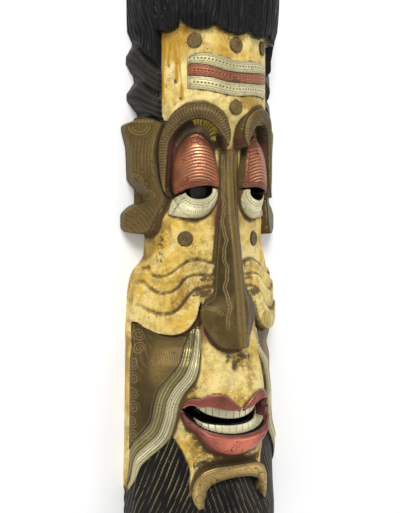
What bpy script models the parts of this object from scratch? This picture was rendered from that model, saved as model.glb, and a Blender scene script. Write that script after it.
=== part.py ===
# A tall wooden mask of a bearded old man, carved from half a log and clad with sheet metal.
# It lies on its back: the flat back rim is at z = 0, the face looks up and the hair points to +Y.
# The carving is drawn in millimetres on paper wrapped round the log: s runs across the paper
# from the middle of the face, and y runs up the log from its middle.

import bpy
import bmesh
import math
import numpy as np
from mathutils import Vector
from mathutils.geometry import delaunay_2d_cdt

# Driving dimensions, in metres. NOSE_RISE scales the height of the nose's ridge.
LENGTH = 1.0
WIDTH = 0.250
SHEET = 0.0011
GAP = 0.0003
HOLLOW_LENGTH = 0.86
HOLLOW_WIDTH = 0.144
HOLLOW_DEPTH = 0.062
ROUNDEL_RADIUS = 0.0105
ROUNDEL_HEIGHT = 0.0022
STRIP_GAP = 0.0012
PUPIL_WIDTH = 0.042
PUPIL_DROP = 0.013
NOSE_RISE = 1.0
BROW_HEIGHT = 0.011
FOLD_STEP = 0.0034
STRAND_HEIGHT = 0.0062
HAIR_LOCK_DEPTH = 0.0018
BAND_RISE = 0.0012
WHISKER_STEP = 0.0026
RIM_STEP = 0.0030
UNDER_CHEEK = 0.0030
LIP_HEIGHT = 0.0055
LIP_FULLNESS = 0.0045
LIP_GROOVE = 0.0045
CHEEK_MOUND = 0.0045
CRESCENT_HEIGHT = 0.0025
TUFT_RADIUS = 0.050
TUFT_HEIGHT = 0.023
EYEBALL_HEIGHT = 0.020
LID_THICKNESS = 0.0025

# The drawing was made for a log 1000 mm long and 250 mm wide.
MM = 0.001
ALONG = LENGTH / 1.0
ACROSS = WIDTH / 0.250
WRAP = 110.0
EDGE = WRAP * math.pi / 2
TOP = 500.0
BOTTOM = -500.0
LOG_FACES = 4700
SAMPLES_ACROSS = 231
SAMPLES_ALONG = 501
POINTS_PER_ROUND = 160
NEAREST_POINT = 1.5
LOCK_SPACING = 16.0
LOCKS = 20
OUTLINE_SLACK = 0.5
CUTTER_START = 25.0
CUTTER_END = 185.0
STEEP = 0.4
TINY = 1e-6


# Curves and smooth steps.
def rise(x, low, high):
    t = np.clip((x - low) / (high - low), 0, 1)
    return t * t * (3 - 2 * t)


def through(x, points):
    """A smooth curve through a few points, with no overshoot."""
    knots = np.array([point[0] for point in points], float)
    values = np.array([point[1] for point in points], float)
    return between(x, knots, values[:, None])


def between(x, knots, values):
    """The same for values that differ from place to place, one row for each knot."""
    x = np.asarray(x, float)
    steps = (knots[1:] - knots[:-1])[:, None]
    slopes = (values[1:] - values[:-1]) / steps
    product = slopes[1:] * slopes[:-1]
    total = slopes[1:] + slopes[:-1]
    lean = np.zeros_like(values)
    lean[1:-1] = np.where(product > 0, 2 * product / np.where(product > 0, total, 1), 0)
    i = np.clip(np.searchsorted(knots, x) - 1, 0, len(knots) - 2)
    place = np.arange(x.size) if values.shape[1] > 1 else np.zeros(x.size, int)
    h = steps[i, 0]
    t = np.clip((x - knots[i]) / h, 0, 1)
    here = (1 + 2 * t) * (1 - t) ** 2 * values[i, place] + t * t * (3 - 2 * t) * values[i + 1, place]
    return here + t * (1 - t) ** 2 * h * lean[i, place] - t * t * (1 - t) * h * lean[i + 1, place]


def smooth_line(points, steps=5, closed=False):
    """A rounded line through points of any width, as rows of numbers."""
    points = np.array(points, float)
    if closed:
        before, after, last = points[-1:], points[:2], len(points)
    else:
        before, after, last = 2 * points[:1] - points[1:2], 2 * points[-1:] - points[-2:-1], len(points) - 1
    run = np.concatenate([before, points, after])
    line = []
    for i in range(last):
        p0, p1, p2, p3 = run[i:i + 4]
        for t in np.arange(steps) / steps:
            bend = (2 * p0 - 5 * p1 + 4 * p2 - p3) * t + (3 * p1 - p0 - 3 * p2 + p3) * t * t
            line.append(p1 + 0.5 * t * (p2 - p0 + bend))
    if not closed:
        line.append(points[-1])
    return np.array(line)


def nearest(s, y, line, closed=False):
    """Distance to a line and the line's own values there."""
    distance = np.full(s.shape, 1e9)
    values = np.zeros((line.shape[1],) + s.shape)
    ends = np.roll(line, -1, axis=0) if closed else line[1:]
    for start, end in zip(line, ends):
        run = end - start
        size = run[0] ** 2 + run[1] ** 2 + 1e-12
        t = np.clip(((s - start[0]) * run[0] + (y - start[1]) * run[1]) / size, 0, 1)
        apart = np.hypot(s - start[0] - t * run[0], y - start[1] - t * run[1])
        closer = apart < distance
        distance = np.where(closer, apart, distance)
        for k in range(line.shape[1]):
            values[k] = np.where(closer, start[k] + t * run[k], values[k])
    return distance, values


def depth_inside(s, y, outline):
    """Distance from an outline, positive inside it."""
    distance, _ = nearest(s, y, outline, closed=True)
    odd = np.zeros(s.shape, bool)
    for start, end in zip(outline, np.roll(outline, -1, axis=0)):
        if start[1] == end[1]:
            continue
        crosses = (start[1] > y) != (end[1] > y)
        at = start[0] + (y - start[1]) * (end[0] - start[0]) / (end[1] - start[1])
        odd ^= crosses & (s < at)
    return np.where(odd, distance, -distance)


def stroke_height(s, y, stroke):
    """How high a rounded stroke stands there, from 0 at its edges to 1 along its middle."""
    distance, values = nearest(s, y, stroke)
    return np.sqrt(np.clip(1 - (distance / np.maximum(values[2], 0.1)) ** 2, 0, 1))


def stroke_outline(stroke, trim=0.0):
    """The closed outline of a stroke whose third value is its half width."""
    run = np.gradient(stroke[:, :2], axis=0)
    normal = np.stack([-run[:, 1], run[:, 0]], axis=1)
    normal /= np.linalg.norm(normal, axis=1)[:, None]
    half = np.maximum(stroke[:, 2] - trim, 0.2)[:, None]
    return np.concatenate([stroke[:, :2] + normal * half, (stroke[:, :2] - normal * half)[::-1]])


# The wood under the features: its radius at five places round the log, from nose to back edge.
ROUND = np.array([0, 38, 77, 115, EDGE])
HAIR = {500: (121, 122, 122, 122, 122), 405: (124, 125, 126, 126, 124), 355: (122, 123, 124, 123, 124),
        335: (120, 121, 120, 118, 118), 300: (120, 120, 118, 114, 114)}
FACE = {360: (111, 110, 107, 104, 104), 222: (111, 110, 107, 104, 104), 198: (101, 96, 95, 98, 112),
        165: (93, 91, 92, 97, 117), 95: (90, 90, 91, 97, 106), 60: (88, 88, 89, 99, 98),
        34: (88, 88, 88, 98, 92.5), 12: (88, 88, 91, 102, 94.6), -18: (89, 89, 96, 108, 115.6),
        -45: (90, 90, 98, 109, 121), -76: (90, 91, 98, 108, 123), -99: (91, 93, 97, 107, 124),
        -125: (95, 97, 99, 108, 122), -165: (104, 104, 100, 108, 122), -195: (112, 110, 101, 107, 123),
        -240: (111, 109, 99, 109, 124), -275: (99, 97, 97, 111, 125), -292: (90, 91, 97, 113, 126),
        -345: (97, 101, 108, 117, 126.5), -395: (110, 112, 116, 121, 127), -500: (118, 120, 122, 124, 127)}
SILHOUETTE = [(500, 123), (344, 121), (324, 113), (300, 125), (270, 110), (245, 123), (216, 104), (200, 130),
              (167, 123), (125, 121), (108, 108), (93, 101), (82, 120), (69, 131), (55, 131), (44, 122),
              (40, 92.5), (34, 92.5), (12, 94.6), (-18, 115.6), (-45, 121.8), (-99, 124), (-240, 125),
              (-345, 127), (-500, 127)]


def ground(a, y, table):
    heights = sorted(table)
    knots = np.array(heights, float)
    columns = np.array([table[h] for h in heights], float).T
    values = np.stack([between(y, knots, column[:, None]) for column in columns])
    return between(a, ROUND, values)


# Outlines and lines on one half of the face; the other half mirrors them.
BROW = smooth_line([(15.5, 170, 2.5), (17, 186, 8), (25, 203, 11.5), (36, 213, 12.2), (52, 218, 12),
                    (69, 216, 12), (86, 207, 11.5), (100, 192, 10.5), (108, 175, 9.5), (110, 155, 9),
                    (109.5, 138, 7.5), (109, 126, 6.2), (106.8, 111, 4), (101.5, 98, 1.5)])
UPPER_LID = smooth_line([(61, 187), (78, 180), (91, 165), (97.5, 145), (99.5, 122), (98.5, 107), (93.5, 99.5),
                         (82, 103), (67, 108), (44, 111.5), (23.5, 110.5), (23, 124), (27, 142), (34, 168),
                         (47, 182)], 4, True)
LOWER_LID = smooth_line([(100, 92), (92, 96.5), (84, 99.5), (62, 106), (30, 109), (23.5, 102), (24, 91), (30, 80),
                         (40, 71), (53, 66), (67, 65), (88, 67), (105, 71), (104, 82)], 4, True)
NOSE = smooth_line([(8, 166), (16, 163), (19, 155), (19, 130), (18, 92), (22, 55), (26, 20), (29, -10), (31.5, -36),
                    (35, -47), (45, -54), (52, -62), (54.5, -71), (53, -81), (48, -91), (40, -103),
                    (32, -113), (23, -120), (10, -123), (0, -122.5)], 3)
NOSE_RIGHT = smooth_line([(0, -122.5), (8, -122.5), (17, -117), (24, -108), (30, -97), (36, -87), (43, -78), (48, -70),
                          (48, -61), (43, -53), (35, -46), (30.5, -36), (28, -10), (26, 20), (22, 55), (18, 92),
                          (19, 130), (19, 155), (16, 163), (8, 166)], 3)
NOSE_OUTLINE = np.concatenate([NOSE * (-1, 1), NOSE_RIGHT])
NOSE_RIDGE = [(-130, 129), (-115, 128.7), (-51, 121.5), (20, 111), (92, 97.7), (158, 93), (170, 93)]
FOLDS = [[(36, -0.5), (46, 2.6), (59, 4.4), (72, 2.7), (84, -3.7), (96, -12.7), (107, -18.2), (116, -19.4),
          (125, -18), (138, -9), (149, -10), (173, -20)],
         [(37, -18), (47, -17), (59, -16.3), (71, -19), (88, -36), (98, -41.7), (109, -44), (118, -41.6),
          (129, -35), (140, -28), (157, -30), (173, -38)],
         [(40, -34.8), (47, -35.3), (59, -37.1), (67, -43), (84, -64.7), (94, -71.3), (107, -73.7),
          (118, -71.8), (130, -67), (142, -61), (161, -62), (173, -68)]]
JOWL = [(46, -40), (54, -60), (58, -76), (63, -84), (71, -93.4), (82, -99.8), (97, -102.5), (113, -100.6),
        (130, -93.5), (145, -85), (165, -83.6), (173, -85)]
ROLLS = [[(100, 276), (115, 281), (124, 287), (139, 299), (159, 321), (173, 325)],
         [(100, 238), (115, 243), (132, 252), (154, 268), (173, 271)],
         [(100, 203), (115, 205), (131, 211), (159, 215), (173, 216)]]
EAR = np.array([(110.5, 202), (117, 205.5), (131, 211), (159, 215), (EDGE - 0.5, 215.5), (EDGE - 0.5, 46),
                (150, 42), (139, 42.5), (129, 46), (117, 70), (107, 90), (105, 97), (112.6, 108), (118, 125),
                (120.6, 140), (122, 155), (121, 170), (118.2, 184)], float)
STRIP_INNER = 157.0
INNER_STRAND = smooth_line([(57, -94, 4.5), (58.5, -121, 6), (66, -157, 8.3), (82, -180, 8.5), (91, -199, 8.8),
                            (95, -221, 8.6), (104, -247, 8.6), (125, -271, 8), (136.5, -287, 7.3),
                            (144, -309, 6), (156, -330, 1)])
OUTER_EDGE = [(71, -96), (73, -106), (80, -120), (83, -141), (97, -162), (111, -180), (118, -203), (121, -224),
              (132, -243), (145, -258), (154, -272), (156, -292), (159, -310), (163, -328)]
HAIR_PEAKS = [(-121, 341), (-80, 346.6), (-34, 343), (20, 337.6), (62, 341), (121, 338)]
HAIR_DROP = 10.5
TEMPLE = 117.0
MOUTH_TOP = smooth_line([(-79, -206), (-66, -200), (-53, -203), (-42, -201.5), (-25, -206), (-10, -208.5),
                         (0, -207), (14, -206.5), (30, -198), (42, -196.5), (54, -199), (62, -206)], 3)
MOUTH_FLOOR = smooth_line([(62, -207.5), (62, -215), (58, -223), (51, -230), (41, -236), (25, -241), (0, -243),
                           (-22, -241), (-44, -235), (-58, -227), (-72, -217), (-79, -207.5)], 3)
MOUTH = np.concatenate([MOUTH_TOP, MOUTH_FLOOR])
UPPER_LIP = smooth_line([(-81, -206), (-75, -197), (-66, -191.5), (-54, -191), (-44, -186), (-32, -183.5), (-22, -186),
                         (-12, -194), (-2, -204.5), (4, -205.5), (14, -197), (26, -187), (38, -183), (50, -186),
                         (62, -190), (73, -195), (79, -203)], 3)
LOWER_LIP = smooth_line([(-82, -208), (-81.5, -216), (-78, -224), (-73, -233), (-61, -240), (-56, -248), (-50, -256),
                         (-41, -266), (-27, -273), (-10, -277), (10, -277), (27, -273), (41, -265), (50, -255),
                         (56, -246), (62, -238), (73, -230), (79, -219), (80, -206)], 3)
UPPER_TEETH_EDGE = smooth_line([(-60, -206), (-47, -213.5), (-31, -218.5), (-14, -222), (0, -223), (16, -222),
                                (32, -218), (44, -213), (54, -206)], 3)
LOWER_TEETH_EDGE = smooth_line([(-66, -220), (-50, -227), (-32, -230), (-6, -232), (16, -231.5), (36, -228),
                                (48, -223), (58, -214)], 3)
CRESCENT = smooth_line([(53, -346, 2.5), (55.5, -333, 8.5), (54, -319, 10.5), (46, -307, 11.2), (32, -301, 10.8),
                        (16, -299, 9.6), (0, -298.5, 9.2), (-16, -299, 9.6), (-32, -301, 10.8),
                        (-46, -307, 11.2), (-54, -319, 10.5), (-55.5, -333, 9), (-52.5, -347, 4.5)])


# The carved surface.
def hairline(s):
    """Scallops with pointed peaks between them."""
    peaks = np.array(HAIR_PEAKS, float)
    i = np.clip(np.searchsorted(peaks[:, 0], s) - 1, 0, len(peaks) - 2)
    t = np.clip((s - peaks[i, 0]) / (peaks[i + 1, 0] - peaks[i, 0]), 0, 1)
    return peaks[i, 1] + t * (peaks[i + 1, 1] - peaks[i, 1]) - HAIR_DROP * (1 - (2 * t - 1) ** 2) ** 0.6


def hair(s, a, y):
    """The fringe, and below it three rolls that sweep back over each temple."""
    r = ground(a, y, HAIR)
    lines = [through(a, line) for line in ROLLS]
    crest = 113.5 + 11.5 * rise(a, TEMPLE - 5, EDGE)
    side = rise(a, TEMPLE - 9, TEMPLE + 4)
    first = crest - 12 + 12 * np.sqrt(rise(y - lines[0], 0, 13))
    r += side * (1 - rise(y - lines[0], 12, 40)) * (first - r)
    for upper, lower in zip(lines, lines[1:]):
        t = np.clip((y - lower) / (upper - lower), 0, 1)
        roll = crest - 12 + 12 * np.sin(math.pi * t ** 0.85) ** 0.6
        r = np.where((y <= upper) & (a > TEMPLE - 9), roll, r)
    locks = HAIR_LOCK_DEPTH / MM * np.abs(np.sin(math.pi * s / LOCK_SPACING))
    return r - HAIR_LOCK_DEPTH / MM * 0.6 + locks * rise(y - lines[0], 0, 12) * 0.9


def eye(a, y, r):
    below = np.where(y < 120, 56.0, 67.0)
    ball = 1 - ((a - 62) / 46) ** 2 - ((y - 120) / below) ** 2
    dome = np.where(ball > 0, 88 + EYEBALL_HEIGHT / MM * np.sqrt(np.clip(ball, 0, 1)), 0)
    lid = rise(depth_inside(a, y, UPPER_LID), -0.6, 0.8)
    lower = rise(depth_inside(a, y, LOWER_LID), -0.6, 0.8) * (1 - lid)
    r = r + lower * (np.maximum(dome, r + 3) - r)
    return r + lid * (np.maximum(dome + LID_THICKNESS / MM, 97) - r)


def nose(s, y, r):
    """A long ridge, broader over its left nostril than over its right one."""
    a = np.abs(s)
    inside = depth_inside(s, y, NOSE_OUTLINE)
    half = through(y, [(-123, 30), (-110, 42), (-95, 53), (-70, 57), (-52, 44), (-36, 33), (20, 27), (92, 19),
                       (166, 18)])
    right = through(y, [(-123, 19), (-110, 27), (-95, 36), (-78, 47), (-62, 52), (-52, 44), (-36, 33)])
    half = np.where(s > 0, np.minimum(half, right), half)
    t = np.clip(a / half, 0, 1)
    ridge = through(y, NOSE_RIDGE)
    wall = through(y, [(-123, 118), (-105, 103), (-85, 97), (-60, 95), (-30, 94), (20, 91), (92, 91), (166, 90)])
    lift = NOSE_RISE * (ridge - wall)
    slope = 1 - np.clip((t - 0.2) / 0.8, 0, 1) ** 1.05
    wing = 5.5 * np.exp(-((t - 0.8) / 0.25) ** 2) * rise(y, -118, -90) * (1 - rise(y, -66, -40))
    tip = rise(y, -126, -119)
    return np.where(inside > 0, np.maximum((wall + lift * slope + wing) * tip + r * (1 - tip), r + 1), r)


def cheeks(a, y, r):
    for line in FOLDS:
        step = FOLD_STEP / MM * (1 - rise(a, 150, 170))
        r = r + step * rise(through(a, line) - y, -0.8, 1.6)
    under = rise(through(a, JOWL) - y, -0.7, 1.2) * rise(a, 50, 56)
    fade = rise(y, -150, -118)
    depth = 3 * FOLD_STEP * (1 - rise(a, 150, 170)) + UNDER_CHEEK
    return r - under * depth / MM * fade * (1 - 0.6 * rise(a, 150, 160))


def strip(a, y, r):
    """The plain wooden rim along the beard's side."""
    edge = through(y, [(-340, EDGE), (-325, 167), (-300, STRIP_INNER), (-80, STRIP_INNER)])
    return r + RIM_STEP / MM * rise(a - edge, -0.5, 1.5) * rise(-y, 84, 90) * (1 - rise(-y, 325, 338))


def whiskers(a, y, r):
    edge = through(-y, [(-point[1], point[0]) for point in OUTER_EDGE])
    edge = np.where(-y < 96, 71.0, edge)
    span = rise(-y, 94, 100) * (1 - rise(-y, 325, 335))
    beside = nearest(a, y, INNER_STRAND)[1][0]
    outer = rise(a - beside, 0, 2) * rise(edge - a, -0.8, 1.5) * span
    r = r + WHISKER_STEP / MM * outer
    return r + STRAND_HEIGHT / MM * stroke_height(a, y, INNER_STRAND)


def mouth(s, a, y, r):
    """Mounds over the lip, the two lips, and rows of teeth set back between them."""
    mound = CHEEK_MOUND / MM * np.exp(-((a - 27) / 17) ** 2 - ((y + 172) / 15) ** 2)
    groove = LIP_GROOVE / MM * np.exp(-(s / 8.5) ** 2) * rise(-y, 125, 150) * (1 - rise(-y, 196, 206))
    r = r + mound - groove
    open_at = depth_inside(s, y, MOUTH)
    upper = depth_inside(s, y, np.concatenate([UPPER_LIP, [(0, -225)]]))
    lower = depth_inside(s, y, np.concatenate([LOWER_LIP, [(0, -200)]]))
    rim = np.exp(-(open_at / 7) ** 2)
    r = r + np.where(y > -212, rise(upper, -1, 3) * (2 + 2 * rim), rise(lower, -1, 6) * LIP_HEIGHT / MM)
    full = LIP_FULLNESS / MM * rise(lower, 0, 14) * rise(-open_at, 0, 8) * (y < -225)
    teeth = through(a, [(0, 108), (30, 106.5), (60, 99), (84, 88)])
    teeth = teeth + 3.5 * (1 - rise(y, -236, -222)) * (1 - rise(a, 50, 75))
    sunk = rise(open_at, 0, 1.6)
    return (r + full) * (1 - sunk) + teeth * sunk


def chin(s, a, y, r):
    """A crescent that stands over a round tuft of beard."""
    tuft = 1 - (a ** 2 + (y + 352) ** 2) / (TUFT_RADIUS / MM) ** 2
    r = np.where(y < -306, np.maximum(r, 88 + TUFT_HEIGHT / MM * np.sqrt(np.clip(tuft, 0, 1)) * (tuft > 0)), r)
    arc = stroke_height(s, y, CRESCENT)
    arc_base = through(a, [(0, 111), (40, 113), (58, 115), (80, 115)])
    return np.where(arc > 0.02, np.maximum(arc_base + CRESCENT_HEIGHT / MM * arc, r + 1), r)


def relief(s, y):
    """The wood's radius in millimetres for places on the paper."""
    a = np.abs(s)
    width = through(y, sorted(SILHOUETTE))
    face = ground(a, y, FACE)
    face = eye(a, y, face)
    plate = 104.2 / np.cos(np.radians(a / WRAP * 180 / math.pi - 45))
    ear = rise(depth_inside(a, y, EAR), -0.6, 0.8)
    face = face + ear * (np.maximum(plate, face) - face)
    forehead = ground(a, np.full_like(y, 260.0), FACE)
    brow = stroke_height(a, y, BROW)
    ridge = forehead - 3 + (BROW_HEIGHT / MM + 1) * brow
    face = np.where(brow > 0.02, np.maximum(ridge, face), face)
    face = cheeks(a, y, face)
    face = strip(a, y, face)
    face = whiskers(a, y, face)
    face = mouth(s, a, y, face)
    face = nose(s, y, face)
    face = chin(s, a, y, face)
    over = rise(y - hairline(s), -0.6, 1.2)
    temple = rise(a - TEMPLE, -0.8, 0.8) * rise(y - through(a, ROLLS[2]), -0.6, 0.8)
    hairy = np.maximum(over, temple)
    r = face + hairy * (hair(s, a, y) - face)
    side = width / np.maximum(np.sin(a / WRAP), 0.3)
    r = r - np.log1p(np.exp(np.clip((r - side) / 1.2, -30, 30))) * 1.2
    crown = np.sqrt(np.clip(1 - rise(y, 415, 506) ** 2, 0.02, 1))
    beard = np.sqrt(np.clip(1 - ((-y - 360) / 150).clip(0, 1) ** 2.4, 0.02, 1))
    slim = 1 - 0.085 * rise(s, 45, 115) * rise(-y, 105, 150)
    return r * crown * beard * slim


# Solids.
def point_at(s, y, r):
    """A place in the model, in metres."""
    turn = s / WRAP
    across = r * MM * ACROSS
    return np.stack([across * np.sin(turn), y * MM * ALONG, across * np.cos(turn)], axis=-1)


def new_object(name, vertices, faces):
    mesh = bpy.data.meshes.new(name)
    mesh.from_pydata([tuple(v) for v in vertices], [], [tuple(int(i) for i in f) for f in faces])
    thing = bpy.data.objects.new(name, mesh)
    bpy.context.scene.collection.objects.link(thing)
    return thing


def apply_modifiers(thing):
    evaluated = thing.evaluated_get(bpy.context.evaluated_depsgraph_get())
    mesh = bpy.data.meshes.new_from_object(evaluated)
    thing.modifiers.clear()
    old = thing.data
    thing.data = mesh
    bpy.data.meshes.remove(old)


def carve(thing, tool, operation):
    """One exact cut; where the exact solver leaves nothing, the manifold one makes the cut."""
    cut = thing.modifiers.new(operation, "BOOLEAN")
    cut.operation = operation
    cut.object = tool
    for solver in ("EXACT", "MANIFOLD"):
        cut.solver = solver
        if len(thing.evaluated_get(bpy.context.evaluated_depsgraph_get()).data.polygons):
            break
    apply_modifiers(thing)
    bpy.data.objects.remove(tool, do_unlink=True)


def border_of(triangles):
    """The edges with a triangle on one side alone, each as start and end."""
    around = {(t[k], t[(k + 1) % 3]) for t in triangles for k in range(3)}
    return sorted(edge for edge in around if edge[::-1] not in around)


def shell(name, front, triangles, back):
    """A closed solid between a sheet's outer and inner skin."""
    used = sorted({k for triangle in triangles for k in triangle})
    place = {k: n for n, k in enumerate(used)}
    count = len(used)
    tops = [tuple(place[k] for k in triangle) for triangle in triangles]
    faces = tops + [tuple(k + count for k in reversed(triangle)) for triangle in tops]
    faces += [(end, start, start + count, end + count) for start, end in border_of(tops)]
    return new_object(name, list(front[used]) + list(back[used]), faces)


def closed_log(name, front, triangles):
    """The log: its carved front, its flat back and its two ends."""
    following = dict(border_of(triangles))
    loop = [next(k for k in sorted(following) if abs(front[k][2]) < TINY and abs(front[k][1]) < HOLLOW_LENGTH / 3)]
    while following[loop[-1]] != loop[0]:
        loop.append(following[loop[-1]])
    faces = list(triangles)
    for axis, height in ((2, 0), (1, front[:, 1].min()), (1, front[:, 1].max())):
        faces.append(tuple(reversed([k for k in loop if abs(front[k][axis] - height) < TINY])))
    return new_object(name, front, faces)


def thinned(line, slack):
    """Leaves out the points that lie almost on the line between their neighbours."""
    if len(line) < 3:
        return line
    run = line[-1] - line[0]
    size = np.hypot(*run)
    gap = line[1:-1] - line[0]
    if size > 1e-6:
        apart = np.abs(gap[:, 0] * run[1] - gap[:, 1] * run[0]) / size
    else:
        apart = np.hypot(gap[:, 0], gap[:, 1])
    far = int(np.argmax(apart)) + 1
    if apart[far - 1] < slack:
        return np.array([line[0], line[-1]])
    return np.concatenate([thinned(line[:far + 1], slack)[:-1], thinned(line[far:], slack)])


def wedge(name, outline, near=CUTTER_START, far=CUTTER_END):
    """A cutter that stands on an outline of the drawing and widens away from the log's axis."""
    outline = np.asarray(outline, float)[:, :2]
    outline = thinned(np.concatenate([outline, outline[:1]]), OUTLINE_SLACK)[:-1]
    area = np.sum(outline[:, 0] * np.roll(outline[:, 1], -1) - outline[:, 1] * np.roll(outline[:, 0], -1))
    if area < 0:
        outline = outline[::-1]
    count = len(outline)
    inner = point_at(outline[:, 0], outline[:, 1], np.full(count, near))
    outer = point_at(outline[:, 0], outline[:, 1], np.full(count, far))
    mesh = bmesh.new()
    low = [mesh.verts.new(v) for v in inner]
    high = [mesh.verts.new(v) for v in outer]
    flat = [mesh.verts.new((p[0] * MM, p[1] * MM, 0)) for p in outline]
    cap = mesh.faces.new(flat)
    parts = bmesh.ops.triangulate(mesh, faces=[cap])["faces"]
    index = {v: k for k, v in enumerate(flat)}
    triangles = [[index[v] for v in face.verts] for face in parts]
    bmesh.ops.delete(mesh, geom=flat, context="VERTS")
    for triangle in triangles:
        mesh.faces.new([high[k] for k in triangle])
        mesh.faces.new([low[k] for k in reversed(triangle)])
    for k in range(count):
        n = (k + 1) % count
        mesh.faces.new([low[k], low[n], high[n], high[k]])
    bmesh.ops.triangulate(mesh, faces=[f for f in mesh.faces if len(f.verts) > 3])
    bmesh.ops.recalc_face_normals(mesh, faces=mesh.faces)
    data = bpy.data.meshes.new(name)
    mesh.to_mesh(data)
    mesh.free()
    thing = bpy.data.objects.new(name, data)
    bpy.context.scene.collection.objects.link(thing)
    return thing


def finish(name, colour, roughness, metallic):
    material = bpy.data.materials.new(name)
    material.use_nodes = True
    shader = material.node_tree.nodes["Principled BSDF"]
    shader.inputs["Base Color"].default_value = (*colour, 1)
    shader.inputs["Roughness"].default_value = roughness
    shader.inputs["Metallic"].default_value = metallic
    return material


for old in list(bpy.data.objects):
    bpy.data.objects.remove(old, do_unlink=True)

YELLOW_WOOD = ((0.78, 0.55, 0.12), 0.5, 0.0)
BRASS = ((0.16, 0.11, 0.045), 0.42, 0.85)
COPPER = ((0.62, 0.22, 0.13), 0.35, 0.85)
WHITE_METAL = ((0.60, 0.57, 0.40), 0.42, 0.7)
GOLD_BRASS = ((0.5, 0.33, 0.1), 0.4, 0.8)

def drawn_in(outline, inset):
    """An outline made a little smaller, so that neighbours don't touch."""
    run = np.roll(outline, -1, axis=0) - np.roll(outline, 1, axis=0)
    normal = np.stack([run[:, 1], -run[:, 0]], axis=1)
    normal /= np.linalg.norm(normal, axis=1)[:, None] + 1e-9
    area = np.sum(outline[:, 0] * np.roll(outline[:, 1], -1) - outline[:, 1] * np.roll(outline[:, 0], -1))
    return outline - normal * inset * np.sign(area)


def beside(line, distance):
    """An open line moved sideways, to the left of its own direction."""
    run = np.gradient(line[:, :2], axis=0)
    normal = np.stack([-run[:, 1], run[:, 0]], axis=1)
    return line[:, :2] + normal / np.linalg.norm(normal, axis=1)[:, None] * distance


def ring(s, y, radius, surface, count=20):
    """A round outline on the surface, undone for the way the paper stretches there."""
    turn = np.arange(count) * 2 * math.pi / count
    stretch = WRAP / surface
    return np.stack([s + radius / MM * np.cos(turn) * stretch, y + radius / MM * np.sin(turn)], axis=1)


# Every piece of sheet metal, as an outline on the paper.
seam = STRIP_GAP / MM / 2
SHEETS = []


def sheet(name, outline, look, thickness=SHEET, hole=None):
    outline = np.asarray(outline, float)[:, :2]
    outline = thinned(np.concatenate([outline, outline[:1]]), OUTLINE_SLACK)[:-1]
    SHEETS.append((name, outline, look, thickness, hole))


def both_sides(name, outline, look, hole=None):
    outline = np.asarray(outline, float)[:, :2]
    sheet(name + "_left", outline * (-1, 1), look, hole=None if hole is None else hole * (-1, 1))
    sheet(name + "_right", outline, look, hole=hole)


# Eyes and brows.
half = PUPIL_WIDTH / MM / 2
turns = np.linspace(0, math.pi, 11)
PUPIL = np.stack([55.5 - half * np.cos(turns), 105.5 - PUPIL_DROP / MM * np.sin(turns)], axis=1)
PUPIL = np.concatenate([PUPIL, [(55.5 + half - 4, 112), (55.5 - half, 112)]])
both_sides("brow", stroke_outline(BROW, seam), BRASS)
both_sides("upper_eyelid", drawn_in(UPPER_LID, seam), COPPER)
both_sides("lower_eyelid", drawn_in(LOWER_LID, seam), WHITE_METAL, PUPIL)
sheet("nose", drawn_in(NOSE_OUTLINE, seam), BRASS)
both_sides("ear", drawn_in(EAR, seam), BRASS)

# Bands and roundels nailed to the forehead and the cheeks.
BAND_EDGES = [[(-72, 294), (-66, 299), (-57, 301), (-44, 301), (-30, 298.8), (-16, 295.8), (-4, 293), (10, 293),
               (27, 294.6), (48, 296.5), (68, 294), (72, 291)],
              [(-72, 284), (-66, 285.7), (-48, 284.4), (-30, 280.6), (-16, 276.8), (-1, 275.6), (16, 276.2),
               (45, 279), (72, 282)],
              [(-72, 269), (-39, 266.5), (-21, 262.6), (-6, 260.8), (33, 262.2), (72, 266)],
              [(-72, 251), (-39, 246.7), (-21, 243.2), (0, 241.2), (33, 244.9), (72, 244.4)]]
edges = [smooth_line(edge, 3) for edge in BAND_EDGES]
bands = (("forehead_band_upper", WHITE_METAL), ("forehead_band_middle", COPPER), ("forehead_band_lower", WHITE_METAL))
for (name, look), high, low in zip(bands, edges, edges[1:]):
    sheet(name, np.concatenate([high - (0, seam), low[::-1] + (0, seam)]), look, SHEET + BAND_RISE)
ROUNDELS = (("forehead_roundel_left", -62, 319, 108), ("forehead_roundel_middle", 0, 315, 111),
            ("forehead_roundel_right", 62, 319, 108), ("brow_roundel", 0, 225, 110),
            ("cheek_roundel_left", -79, 36, 88), ("cheek_roundel_right", 79, 36, 88))
for name, s, y, surface in ROUNDELS:
    sheet(name, ring(s, y, ROUNDEL_RADIUS, surface), BRASS, ROUNDEL_HEIGHT)

# Beard side: the chased panel, and the two strands of the moustache.
edge = smooth_line(OUTER_EDGE, 3)
upper_part = edge[edge[:, 1] > -264]
rim = [(STRIP_INNER - seam, -272), (STRIP_INNER - seam, -87), (145, -87.5), (130, -96.5), (113, -104), (97, -106),
       (82, -103.5)]
both_sides("cheek_panel", np.concatenate([beside(upper_part, seam)[3:], rim]), BRASS)
both_sides("moustache_inner", stroke_outline(INNER_STRAND, seam), WHITE_METAL)
outer_side = stroke_outline(INNER_STRAND, -seam)[:len(INNER_STRAND)]
both_sides("moustache_outer", np.concatenate([beside(edge, -seam), outer_side[:-5][::-1]]), GOLD_BRASS)

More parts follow.
